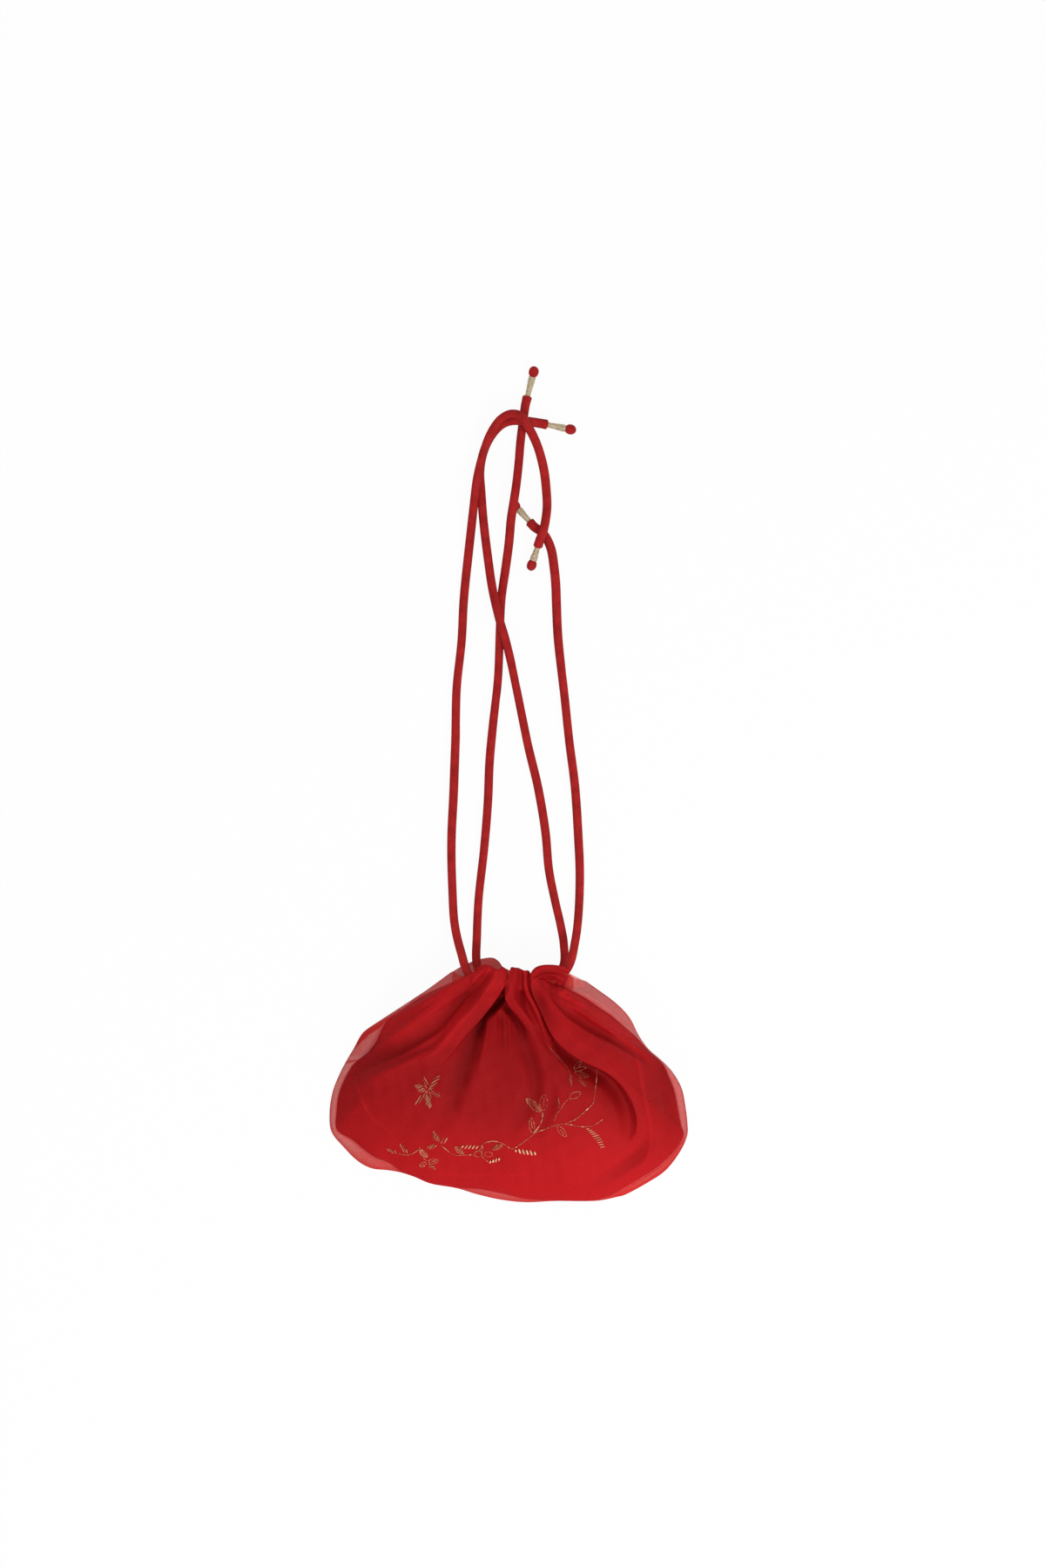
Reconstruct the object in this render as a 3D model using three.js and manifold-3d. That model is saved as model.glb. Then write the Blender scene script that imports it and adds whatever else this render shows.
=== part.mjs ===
// A gathered organza drawstring pouch, lying on its back. Millimetres, +Z up, mouth towards +Y.
// Two cloth pouches, one inside the other, hang from two drawstring channels at the mouth.
import * as THREE from 'three';
import { mergeGeometries, mergeVertices } from 'three/addons/utils/BufferGeometryUtils.js';
import Module from 'manifold-3d';

const wasm = await Module();
wasm.setup();

// Driving dimensions: the pouch
const POUCH_WIDTH = 226;
const POUCH_LENGTH = 154;
const BELLY_RISE = 11;
const CLOTH_THICKNESS = 0.8;
const SEAM_GAP = 0.3;
const VEIL_GAP = 0.9;

// Driving dimensions: the gathered mouth and its two drawstring channels
const HEM_WIDTH = 62;
const HEM_OFFSET = 7;
const HEM_DROP = 5;
const CHANNEL_OFFSET = 6;
const CHANNEL_LENGTH = 34;
const CHANNEL_BELOW_HEM = 9.5;
const CHANNEL_WALL = 0.9;
const CHANNEL_ROOM = 0.9;
const CHANNEL_LEAD = 5;
const MOUTH_GAP = 5.5;

// Driving dimensions: the cords and their bound ends
const CORD_DIAMETER = 5;
const NECK_DIAMETER = 2.3;
const FRONT_LEFT_BINDING = 9.4;
const FRONT_RIGHT_BINDING = 10.6;
const BACK_LEFT_BINDING = 13;
const BACK_RIGHT_BINDING = 12;
const BINDING_WAIST = 3.4;
const BINDING_FLARE = 4.4;
const KNOB_DIAMETER = 5.6;
const KNOB_LENGTH = 6.8;
const LANDING_LENGTH = 4;
const FIT_GAP = 0.3;
const REST_GAP = 0.05;

// Driving dimensions: the embroidery
const THREAD_DIAMETER = 0.9;
const MOTIF_HEIGHT = 0.7;
const MOTIF_SEAT = 0.35;
const SEAT_REACH = 0.9;
const STEM_STEP = 3;
const FLOWER_EYE_DIAMETER = 2;

// How finely the cloth is divided: columns fan out from the mouth, rows run from hem to seam
const COLUMNS = 44;
const LINING_SKIP = 2;
const LINING_START = 0.11;
const FRONT_ROWS = [0, 0.055, LINING_START, 0.18, 0.27, 0.37, 0.48, 0.6, 0.71, 0.81, 0.89, 0.95, 1, 1.5,
  2];
const LINING_ROWS = FRONT_ROWS.filter((row) => row >= LINING_START && row <= 1);
const CHANNEL_SIDES = 12;
const CORD_SIDES = 8;
const THREAD_SIDES = 4;
const CORD_STEPS = 72;
const MOTIF_SEGMENTS = 6;

// Outline of the sewn edge, from the left shoulder round the bottom to the right shoulder.
// Each row: share of half the width, share of half the length, width of the sheer border there.
const OUTLINE = [
  [-0.32, 0.83, 7], [-0.59, 0.6, 5], [-0.73, 0.48, 7], [-0.815, 0.36, 11], [-0.867, 0.23, 10],
  [-0.94, 0.065, 6], [-0.982, -0.09, 4.5], [-1, -0.26, 4], [-0.99, -0.42, 5], [-0.92, -0.545, 7],
  [-0.78, -0.7, 6], [-0.67, -0.74, 4], [-0.53, -0.785, 2.5], [-0.29, -0.885, 3], [-0.05, -0.98, 3],
  [0.11, -1, 2.5], [0.5, -0.987, 2], [0.65, -0.935, 2.5], [0.87, -0.745, 3.5], [0.98, -0.53, 4],
  [1, -0.43, 4], [0.99, -0.25, 4], [0.967, -0.065, 4], [0.92, 0.06, 3.5], [0.78, 0.26, 3],
  [0.725, 0.375, 4], [0.68, 0.505, 7], [0.61, 0.62, 8], [0.435, 0.81, 8],
];

// Top edge of the front hem: share across the mouth, rise above the hem line
const FRONT_HEM = [
  [0, -6], [0.11, -0.5], [0.3, 0.5], [0.47, -0.5], [0.58, -4], [0.6, -5], [0.7, -1], [0.8, 0.8], [0.9, 0],
  [1, -2],
];

// Top edge of the back hem, which stands above the front one on the left
const BACK_HEM = [
  [-0.18, -6], [-0.08, -0.5], [0.04, 1.5], [0.13, 5], [0.22, 5], [0.29, 3], [0.4, -1], [0.7, -2], [1, -2.5],
  [1.06, -6],
];

// Folds of the front, each from the mouth downwards: [x, y, rise], with its reach to either side
// of the path. A ridge rises, a valley is negative.
const FOLDS = [
  { name: 'left pleat', left: 5, right: 7, path: [[-4, 71, 4], [-8, 64, 4.5], [-13, 56, 5], [-20, 48, 5],
    [-27, 40, 5], [-34, 31, 4.5], [-43, 20, 3.5], [-57, 10, 2], [-74, 0, 0]] },
  { name: 'left hollow', left: 8, right: 12, path: [[-14, 60, -2], [-22, 53, -5], [-33, 45, -6],
    [-44, 32, -6], [-57, 22, -6], [-74, 15, -5], [-90, 8, -2]] },
  { name: 'pocket under the left pleat', left: 7, right: 5, path: [[-4, 54, -4], [-10, 48, -7], [-16, 36, -7],
    [-20, 22, -6], [-24, 7, -4], [-31, -10, 0]] },
  { name: 'middle pleat', left: 5, right: 5, path: [[3, 72, 4], [2, 60, 5], [4, 51, 4], [9, 41, 3],
    [15, 33, 2.5], [21, 22, 2], [26, 8, 0]] },
  { name: 'middle hollow', left: 6, right: 6, path: [[0, 49, -4], [4, 36, -6], [9, 22, -5], [10, 8, -3],
    [8, -6, 0]] },
  { name: 'narrow pleat', left: 3.5, right: 3.5, path: [[11, 68, 2.5], [11, 59, 3], [15, 50, 3], [21, 38, 3],
    [25, 29, 2.5], [31, 18, 2], [37, 4, 0]] },
  { name: 'hollow under the big fold', left: 5, right: 9, path: [[14, 58, -2], [17, 51, -4], [23, 37, -6],
    [29, 25, -7], [37, 16, -7], [48, 10, -7], [58, 4, -6], [66, -4, -5], [72, -15, -3], [74, -28, 0]] },
  { name: 'big right fold', left: 15, right: 6, path: [[21, 70, 4], [21, 60, 5], [25, 50, 5], [33, 36, 6],
    [44, 25, 6], [61, 16, 6], [75, 7, 6], [85, -8, 5], [87, -25, 3], [83, -40, 0]] },
  { name: 'right crease', left: 5, right: 5, path: [[31, 55, -2], [36, 45, -3], [47, 37, -3], [64, 25, -3],
    [78, 15, 0]] },
  { name: 'right ridge', left: 6, right: 5, path: [[29, 64, 2], [33, 52, 3], [42, 44, 3.5], [57, 32, 3.5],
    [76, 20, 2], [88, 10, 0]] },
];

// Free legs of the two cords, listed from the mouth to the binding, then the middle of the knob.
// [x, y, z]: they drop from the channel to the surface below and hump over what they cross.
const FRONT_LEFT_LEG = [
  [-24.5, 67, 18], [-30, 82, 14], [-34, 99, 8.5], [-35.5, 122, 3.5], [-36, 153, 2.6], [-34.5, 185, 2.6],
  [-33.5, 215, 2.6], [-33, 246, 2.6], [-30, 277, 2.6], [-28.5, 302, 2.6], [-26, 330, 2.7], [-22.5, 362, 4.5],
  [-20.5, 380, 7.4], [-17.5, 394, 8], [-12.5, 409, 8], [-5.5, 418, 8.4], [1.5, 421, 10.6], [8.5, 419, 13.3],
  [13, 412, 13.2], [18.5, 400, 8.8], [22.5, 385, 4.2], [24, 372, 3.4], [24.3, 362, 5.2], [23.4, 353.8, 7.9],
  [22, 347, 8.5], [18.4, 336.8, 6.6],
];
const FRONT_LEFT_KNOB = [14.6, 325.2, 3.1];
const FRONT_RIGHT_LEG = [
  [37, 72, 17.5], [40.5, 88, 12.5], [44, 107, 5.5], [45, 130, 2.7], [44, 153, 2.6], [42, 185, 2.6],
  [38.5, 212, 2.6], [35.5, 241, 2.6], [32, 277, 2.6], [30.2, 302, 2.6], [30, 312, 2.6], [29.3, 323.5, 2.6],
  [26.6, 336, 2.6], [22, 345, 2.6], [13.5, 352.3, 2.7],
];
const FRONT_RIGHT_KNOB = [4.1, 362.7, 2.9];
const BACK_LEFT_LEG = [
  [-20, 73, 3.9], [-20.5, 92, 2.9], [-19, 115, 2.6], [-15.5, 145, 2.6], [-13, 177, 2.6], [-12, 200, 2.6],
  [-10, 223, 2.6], [-7, 254, 2.6], [-5.5, 285, 2.6], [-4.5, 304, 2.6], [-2.5, 322, 2.8], [-0.5, 338, 4.6],
  [1.6, 354, 8.2], [3.2, 364, 9], [4.8, 375, 6.6], [6.4, 390, 3], [7.5, 403, 2.6], [9, 416, 2.6],
  [11.5, 431, 2.7],
];
const BACK_LEFT_KNOB = [15.8, 447, 2.9];
const BACK_RIGHT_LEG = [
  [35, 73, 3.9], [36, 86, 3], [34, 98, 2.6], [30.5, 113, 2.6], [26.5, 133, 2.6], [24, 157, 2.6],
  [19.5, 185, 2.6], [13, 212, 2.6], [7, 241, 2.8], [2, 263, 4.4], [-2.5, 280, 7.8], [-5.5, 290, 8.3],
  [-8, 300, 7.6], [-10.5, 312, 4.4], [-12, 326, 2.7], [-15, 351, 2.6], [-17, 372, 2.6], [-17.8, 384, 2.6],
  [-15.5, 395, 2.6], [-11, 405, 2.6], [-4.5, 412.5, 3.4], [1.5, 416, 6], [9.5, 416.5, 8.1],
  [24, 414.4, 4.3],
];
const BACK_RIGHT_KNOB = [39, 411, 2.9];

// Petals, leaves and beaded ears of the embroidery: name, base, tip, width
const MOTIFS = [
  ['flower_petal_1', [-49.8, -4.1], [-42.9, 5], 3.4], ['flower_petal_2', [-49.2, -6.1], [-42.4, -8.5], 3],
  ['flower_petal_3', [-50.9, -7.7], [-49, -16], 4], ['flower_petal_4', [-52.8, -7.2], [-58.3, -13.8], 2.6],
  ['flower_petal_5', [-52.8, -4.7], [-58.9, -2.2], 4.2], ['flower_petal_6', [-51.4, -3.3], [-52.8, 3.9], 2.6],
  ['vine_leaf_1', [-70.1, -44.6], [-76.5, -42], 3], ['vine_leaf_2', [-63.8, -44.2], [-68.2, -39.2], 3],
  ['vine_leaf_3', [-51.2, -41.3], [-44.8, -39.6], 3], ['vine_leaf_4', [-53, -42.8], [-50.7, -47.5], 2.4],
  ['bud_petal_1', [-43.7, -36.9], [-46.8, -30.5], 3], ['bud_petal_2', [-42.1, -37.7], [-38, -35.2], 3],
  ['low_petal_1', [-49.8, -50.3], [-44, -49.5], 3.2], ['low_petal_2', [-52.3, -51.4], [-55.6, -53.9], 3],
  ['low_petal_3', [-50.3, -51.9], [-45.7, -55], 2.8], ['vine_leaf_5', [-28.3, -44.6], [-33.6, -40.4], 3],
  ['wheat_ear_1', [-29.2, -41.2], [-19, -41.2], 3], ['diamond_petal_1', [-17, -45.2], [-21.5, -47], 3],
  ['diamond_petal_2', [-14.9, -45], [-9.9, -46], 3.2], ['wheat_ear_2', [-11.6, -51], [-5, -48.4], 4],
  ['vine_leaf_6', [-4.4, -39.9], [-9.9, -42.6], 3], ['wheat_ear_3', [4, -43.2], [17.6, -44.8], 4.2],
  ['vine_leaf_7', [14.6, -30.4], [14.2, -22], 3.3], ['vine_leaf_8', [20.4, -17.9], [11, -9.6], 4.6],
  ['vine_leaf_9', [21.5, -17.4], [22.8, -6.6], 5], ['vine_leaf_10', [38.8, -9], [45.4, -6.1], 4.4],
  ['vine_leaf_11', [30.5, -16], [30.6, -8.8], 2.6], ['vine_leaf_12', [31.1, -28], [36.3, -33.8], 3.7],
  ['wheat_ear_4', [49.8, -29.2], [58.9, -41.3], 3.7], ['high_leaf_1', [38.8, 4.4], [39.9, -2], 2.6],
  ['high_petal_1', [40.8, 9], [45.4, 13.8], 2], ['high_petal_2', [41.3, 8.1], [49, 9.9], 2],
  ['high_petal_3', [41.2, 7.1], [50.6, 3.3], 2], ['high_leaf_2', [44.4, 2.8], [48.4, -2.2], 3],
];
const FLOWER_EYE = [-51.4, -5.7];

// Couched stems of the embroidery, as plan routes over the front
const STEMS = {
  vine_stem: [[-42.2, -39.8], [-40.2, -41.8], [-36.3, -44.6], [-33, -46.2], [-27.5, -46.2], [-23.1, -45.7],
    [-19.8, -43.5], [-17.4, -41.8], [-16.5, -39.6], [-14.5, -37.8], [-10, -36.9], [-5.5, -37.4], [-2.2, -39],
    [2.2, -41.6], [7.2, -39], [11.3, -35.8], [14.9, -33], [19, -30.4], [26.4, -27.5], [31.4, -25.9],
    [35.2, -25.7], [39.6, -26.4], [47, -27.6], [53.4, -26.7], [58.9, -23.3]],
  vine_tail: [[-69, -45.9], [-66, -46.2], [-62.2, -45.7], [-58.9, -44], [-56.4, -42.4], [-55.4, -41]],
  low_stalk: [[-54.8, -42.4], [-54.5, -45.1], [-51.6, -49]],
  diamond_stalk: [[-16.6, -47], [-13, -50]],
  leaf_pair_stalk: [[16.2, -30.2], [18.7, -28], [20.3, -25], [21.2, -22], [21.4, -19.2]],
  side_stem: [[28.6, -23.8], [30.3, -19.3], [33, -16], [34.7, -12.7], [37.4, -9.6]],
  beaded_branch: [[36.6, -24.2], [39.6, -23.8], [42.4, -22.4], [46.8, -18.2], [52.3, -13.2], [54, -9],
    [54.6, -3], [55, 2], [54.8, 8]],
  high_stem: [[25.6, 23], [28.5, 19.8], [31.9, 15.4], [34.7, 12.1], [37.2, 9], [38.2, 6]],
};

// Heights that follow from the sizes above
const halfWidth = POUCH_WIDTH / 2;
const halfLength = POUCH_LENGTH / 2;
const cordRadius = CORD_DIAMETER / 2;
const boreRadius = cordRadius + CHANNEL_ROOM;
const channelRadius = boreRadius + CHANNEL_WALL;
const cordRest = cordRadius + REST_GAP;
const hemY = halfLength - HEM_DROP;
const hemLeft = HEM_OFFSET - HEM_WIDTH / 2;
const channelY = hemY - CHANNEL_BELOW_HEM;
const channelLeft = CHANNEL_OFFSET - CHANNEL_LENGTH / 2;
const backChannelZ = CLOTH_THICKNESS / 2 + channelRadius;
const frontChannelZ = backChannelZ + 2 * channelRadius + MOUTH_GAP;
const hemFloor = frontChannelZ + boreRadius + SEAM_GAP;
const liningFloor = CLOTH_THICKNESS + SEAM_GAP;
const seamTop = 3 * CLOTH_THICKNESS + 2 * SEAM_GAP + VEIL_GAP;

const vector = ([x, y, z = 0]) => new THREE.Vector3(x, y, z);
const spline = (points) => new THREE.CatmullRomCurve3(points.map(vector), false, 'centripetal');
const smooth = (t) => THREE.MathUtils.smoothstep(t, 0, 1);

// Sewn edge of the outer pouch, and of the lining inside it, as curves from shoulder to shoulder
const outlinePoints = OUTLINE.map(([across, along]) => vector([across * halfWidth, along * halfLength]));
const outerEdge = new THREE.CatmullRomCurve3(outlinePoints, false, 'centripetal');

function insetPoint(point, index) {
  const before = outlinePoints[Math.max(index - 1, 0)];
  const after = outlinePoints[Math.min(index + 1, outlinePoints.length - 1)];
  const along = after.clone().sub(before).normalize();
  const inward = new THREE.Vector3(-along.y, along.x, 0);
  return point.clone().addScaledVector(inward, OUTLINE[index][2]);
}
const liningEdge = new THREE.CatmullRomCurve3(outlinePoints.map(insetPoint), false, 'centripetal');

const atHem = ([across, rise]) => [hemLeft + across * HEM_WIDTH, hemY + rise];
const frontHem = spline(FRONT_HEM.map(atHem));
const backHem = spline(BACK_HEM.map(atHem));

// A place on the fan between the front hem and the sewn edge: row 0 is the hem, 1 the lining's edge,
// 2 the outer edge
function fanPoint(across, row) {
  const lining = liningEdge.getPointAt(across);
  if (row <= 1) return frontHem.getPointAt(across).lerp(lining, row);
  return lining.lerp(outerEdge.getPointAt(across), row - 1);
}

// Rise of one fold at a place: full on its path, fading to nothing at its reach on either side
const FOLD_STEPS = 30;
const foldLines = FOLDS.map((fold) => ({ ...fold, line: spline(fold.path).getPoints(FOLD_STEPS) }));

function foldRise({ line, left, right }, place) {
  let best = { distance: Infinity, rise: 0, reach: left };
  for (let i = 0; i < line.length - 1; i += 1) {
    const [start, end] = [line[i], line[i + 1]];
    const run = { x: end.x - start.x, y: end.y - start.y };
    const rel = { x: place.x - start.x, y: place.y - start.y };
    const t = THREE.MathUtils.clamp((rel.x * run.x + rel.y * run.y) / (run.x ** 2 + run.y ** 2), 0, 1);
    const distance = Math.hypot(rel.x - t * run.x, rel.y - t * run.y);
    const side = run.x * rel.y - run.y * rel.x;
    if (distance < best.distance) {
      best = { distance, rise: start.z + t * (end.z - start.z), reach: side > 0 ? left : right };
    }
  }
  const share = Math.min(best.distance / best.reach, 1);
  return best.rise * (0.5 + 0.5 * Math.cos(Math.PI * share));
}

// Inner face of the organza front: a puffed fan with its gathers and folds, flat in the sheer border
const longestRay = Math.max(...OUTLINE.map((_, i) => {
  const across = i / (OUTLINE.length - 1);
  return fanPoint(across, 0).distanceTo(fanPoint(across, 1));
}));

function frontHeight(across, row, place) {
  if (row >= 1) return THREE.MathUtils.lerp(seamTop, liningFloor, smooth(row - 1));
  const ray = fanPoint(across, 0).distanceTo(fanPoint(across, 1)) / longestRay;
  const drop = (1 - row ** 2.4) ** 0.6;
  const past = Math.max(row - LINING_START, 0) / (1 - LINING_START);
  const belly = BELLY_RISE * ray * Math.sin(Math.PI * past) ** 1.1;
  const folds = foldLines.reduce((sum, fold) => sum + foldRise(fold, place), 0);
  const fade = 1 - smooth((row - 0.88) / 0.12);
  const height = seamTop + (hemFloor - seamTop) * drop + belly + folds * fade;
  const overChannel = smooth((place.y - (channelY - channelRadius - 6)) / 6) * smooth((0.5 - row) / 0.3);
  return Math.max(height, THREE.MathUtils.lerp(seamTop, hemFloor, overChannel));
}

// A sheet of cloth as one closed solid: a lower face, an upper face one thickness above, and two rims.
// It closes to a line at its first and last column, where it is sewn into the side seam.
function sheetSolid(lowerFace, firstColumn, lastColumn, rows) {
  const columns = lastColumn - firstColumn;
  const corner = (i, row, rise) => {
    const sewn = i === 0 || i === columns;
    const point = lowerFace((firstColumn + i) / COLUMNS, row);
    point.z += sewn ? 0 : rise;
    return point;
  };
  const last = rows.length - 1;
  const lower = grid(columns, last, (i, j) => corner(i, rows[j], 0));
  const upper = grid(columns, last, (i, j) => corner(i, rows[j], CLOTH_THICKNESS));
  const hemRim = grid(columns, 1, (i, j) => corner(i, rows[0], j * CLOTH_THICKNESS));
  const seamRim = grid(columns, 1, (i, j) => corner(i, rows[last], (1 - j) * CLOTH_THICKNESS));
  lower.setIndex(Array.from(lower.index.array).reverse());
  return welded(mergeGeometries([upper, lower, hemRim, seamRim]));
}

// A plane of columns and rows, each corner moved to its place
function grid(columns, rows, place) {
  const plane = new THREE.PlaneGeometry(1, 1, columns, rows);
  for (let j = 0; j <= rows; j += 1) {
    for (let i = 0; i <= columns; i += 1) {
      const point = place(i, j);
      plane.attributes.position.setXYZ(j * (columns + 1) + i, point.x, point.y, point.z);
    }
  }
  return plane;
}

// A flat panel of cloth, one thickness deep, with its lower face at the given height
function flatPanel(points, z) {
  const outline = new THREE.Shape(points.map((point) => new THREE.Vector2(point.x, point.y)));
  const options = { depth: CLOTH_THICKNESS, bevelEnabled: false };
  return new THREE.ExtrudeGeometry(outline, options).translate(0, 0, z);
}

// One closed mesh: shared vertices joined, empty triangles dropped, faces turned outwards
function welded(geometry) {
  const bare = geometry.index ? geometry.clone() : geometry;
  bare.deleteAttribute('normal');
  bare.deleteAttribute('uv');
  const merged = mergeVertices(bare, 1e-3);
  const old = merged.index.array;
  const kept = [];
  for (let i = 0; i < old.length; i += 3) {
    const [a, b, c] = [old[i], old[i + 1], old[i + 2]];
    if (a !== b && b !== c && c !== a) kept.push(a, b, c);
  }
  merged.setIndex(kept);
  if (signedVolume(merged) < 0) {
    for (let i = 0; i < kept.length; i += 3) [kept[i], kept[i + 1]] = [kept[i + 1], kept[i]];
    merged.setIndex(kept);
  }
  return merged;
}

function signedVolume(geometry) {
  const position = geometry.attributes.position;
  const index = geometry.index.array;
  const corner = (i) => new THREE.Vector3().fromBufferAttribute(position, index[i]);
  let sum = 0;
  for (let i = 0; i < index.length; i += 3) sum += corner(i).dot(corner(i + 1).cross(corner(i + 2)));
  return sum / 6;
}

function toSolid(geometry) {
  const closed = welded(geometry);
  const vertProperties = new Float32Array(closed.attributes.position.array);
  const triVerts = new Uint32Array(closed.index.array);
  return new wasm.Manifold(new wasm.Mesh({ numProp: 3, vertProperties, triVerts }));
}

function toGeometry(solid) {
  const mesh = solid.getMesh();
  const geometry = new THREE.BufferGeometry();
  const positions = new Float32Array((mesh.vertProperties.length / mesh.numProp) * 3);
  for (let i = 0; i < positions.length / 3; i += 1) {
    for (let k = 0; k < 3; k += 1) positions[3 * i + k] = mesh.vertProperties[i * mesh.numProp + k];
  }
  geometry.setAttribute('position', new THREE.BufferAttribute(positions, 3));
  geometry.setIndex(Array.from(mesh.triVerts));
  return geometry;
}

// A round bar along X, for a channel's outside and for its bore
function barAlongX(radius, left, length, y, z) {
  const circle = new THREE.Shape().absarc(0, 0, radius, 0, 2 * Math.PI);
  const options = { depth: length, bevelEnabled: false, curveSegments: CHANNEL_SIDES / 2 };
  return new THREE.ExtrudeGeometry(circle, options).rotateY(Math.PI / 2).translate(left, y, z);
}

// A panel with the drawstring channel that its hem is folded into
function withChannel(sheet, z) {
  const tube = toSolid(barAlongX(channelRadius, channelLeft, CHANNEL_LENGTH, channelY, z));
  const boreStart = channelLeft - CHANNEL_WALL;
  const bore = toSolid(barAlongX(boreRadius, boreStart, CHANNEL_LENGTH + 2 * CHANNEL_WALL, channelY, z));
  return toGeometry(toSolid(sheet).add(tube).subtract(bore));
}

function raised(place, z) {
  place.z = z;
  return place;
}

function frontFace(across, row) {
  const place = fanPoint(across, row);
  return raised(place, frontHeight(across, row, place));
}

function liningFrontFace(across, row) {
  const face = frontFace(across, row);
  face.z -= VEIL_GAP + CLOTH_THICKNESS;
  return face;
}

// Plan outlines of the two flat back panels, from the sewn edge back along the hem
function columnShares(skip) {
  return Array.from({ length: COLUMNS + 1 - 2 * skip }, (_, i) => (i + skip) / COLUMNS);
}
const outerBackOutline = [
  ...columnShares(0).map((across) => outerEdge.getPointAt(across)),
  ...backHem.getSpacedPoints(COLUMNS / 2).reverse(),
];
const liningBackOutline = [
  ...columnShares(LINING_SKIP).map((across) => liningEdge.getPointAt(across)),
  ...columnShares(LINING_SKIP).reverse().map((across) => fanPoint(across, LINING_START)),
];

// A curve that never sinks below the height at which a cord rests on the surface under it
class RestingCurve extends THREE.Curve {
  constructor(route) {
    super();
    this.route = route;
  }

  getPoint(t, target = new THREE.Vector3()) {
    const point = this.route.getPoint(t, target);
    return point.setZ(Math.max(point.z, cordRest));
  }
}

// A cord from knob to knob: a leg, the straight run inside its channel, and the other leg
function cordRoute(left, right, z) {
  const inside = [-CHANNEL_LEAD, 0, CHANNEL_LENGTH / 2, CHANNEL_LENGTH, CHANNEL_LENGTH + CHANNEL_LEAD];
  const run = inside.map((along) => [channelLeft + along, channelY, z]);
  return new RestingCurve(spline([...landed(left).reverse(), ...run, ...landed(right)]));
}

// A leg whose last stretch points straight at its knob
function landed({ leg, knob }) {
  const end = vector(leg[leg.length - 1]);
  const back = vector(knob).sub(end).setLength(-LANDING_LENGTH);
  return [...leg.slice(0, -1), end.clone().add(back).toArray(), end.toArray()];
}

// Where a bound end starts and which way it points, from the cord's last point to its knob
function boundEnd({ leg, knob }) {
  const start = vector(leg[leg.length - 1]);
  const direction = vector(knob).sub(start).normalize();
  return { start, turn: new THREE.Quaternion().setFromUnitVectors(new THREE.Vector3(0, 1, 0), direction) };
}

function turnedAlong(profile, end) {
  const points = profile.map(([radius, height]) => new THREE.Vector2(radius, height));
  const turned = new THREE.LatheGeometry(points, CORD_SIDES).applyQuaternion(end.turn);
  return turned.translate(...end.start.toArray());
}

// The cord's own end: a neck under the binding and the puffed knob of cloth beyond it
function neckAndKnob(side) {
  const neck = NECK_DIAMETER / 2;
  const knob = KNOB_DIAMETER / 2;
  const foot = side.bound + 2 * FIT_GAP;
  const bulge = [[0.75, 0.1], [1, 0.42], [0.92, 0.7], [0.55, 0.94]];
  const outside = bulge.map(([r, h]) => [r * knob, foot + h * KNOB_LENGTH]);
  const root = -cordRadius;
  const profile = [[0, root], [neck, root], [neck, foot], ...outside, [0, foot + KNOB_LENGTH]];
  return turnedAlong(profile, boundEnd(side));
}

function drawstring(left, right, channelZ) {
  const section = new THREE.Shape().absarc(0, 0, cordRadius, 0, 2 * Math.PI);
  const extrudePath = cordRoute(left, right, channelZ);
  const options = { steps: CORD_STEPS, curveSegments: CORD_SIDES / 2, extrudePath };
  const tube = new THREE.ExtrudeGeometry(section, options);
  const ends = [left, right].map((side) => toSolid(neckAndKnob(side)));
  return toGeometry(ends.reduce((solid, end) => solid.add(end), toSolid(tube)));
}

// The thread wound round a cord's neck, waisted in the middle
function binding(side) {
  const inner = NECK_DIAMETER / 2 + FIT_GAP;
  const waist = BINDING_WAIST / 2;
  const flare = BINDING_FLARE / 2;
  const low = FIT_GAP;
  const high = FIT_GAP + side.bound;
  const at = (share) => low + share * side.bound;
  const rounded = 0.92 * flare;
  const outside = [[flare, low], [waist, at(0.22)], [waist, at(0.55)], [flare, at(0.94)], [rounded, high]];
  const profile = [[inner, low], ...outside, [inner, high], [inner, low]];
  return turnedAlong(profile, boundEnd(side));
}

// The finished front panel, on which the embroidery is laid
const organzaFront = withChannel(sheetSolid(frontFace, 0, COLUMNS, FRONT_ROWS), frontChannelZ);
const probe = new THREE.Mesh(organzaFront, new THREE.MeshBasicMaterial());
const ray = new THREE.Raycaster();

// Highest point of the cloth at a place and just around it
function clothTop(x, y) {
  const reach = [-SEAT_REACH, 0, SEAT_REACH];
  const around = reach.flatMap((dx) => reach.map((dy) => new THREE.Vector3(x + dx, y + dy, POUCH_LENGTH)));
  const heights = around.map((above) => {
    ray.set(above, new THREE.Vector3(0, 0, -1));
    return ray.intersectObject(probe)[0].point.z;
  });
  return Math.max(...heights);
}

// A petal, leaf or ear: a pointed, domed oval of packed wire that follows the cloth under it
function motif(base, tip, width) {
  const axis = vector(tip).sub(vector(base));
  const aside = new THREE.Vector3(-axis.y, axis.x, 0).normalize();
  const rest = (i, j) => {
    const along = j / MOTIF_SEGMENTS;
    const half = 2 * width * along * (1 - along);
    const place = vector(base).addScaledVector(axis, along).addScaledVector(aside, (i - 1) * half);
    return raised(place, clothTop(place.x, place.y) + MOTIF_SEAT);
  };
  const domed = (i, j) => {
    const place = rest(i, j);
    const onCrest = i === 1 && j > 0 && j < MOTIF_SEGMENTS;
    return raised(place, place.z + (onCrest ? MOTIF_HEIGHT : 0));
  };
  const under = grid(2, MOTIF_SEGMENTS, rest);
  under.setIndex(Array.from(under.index.array).reverse());
  return welded(mergeGeometries([grid(2, MOTIF_SEGMENTS, domed), under]));
}

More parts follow.
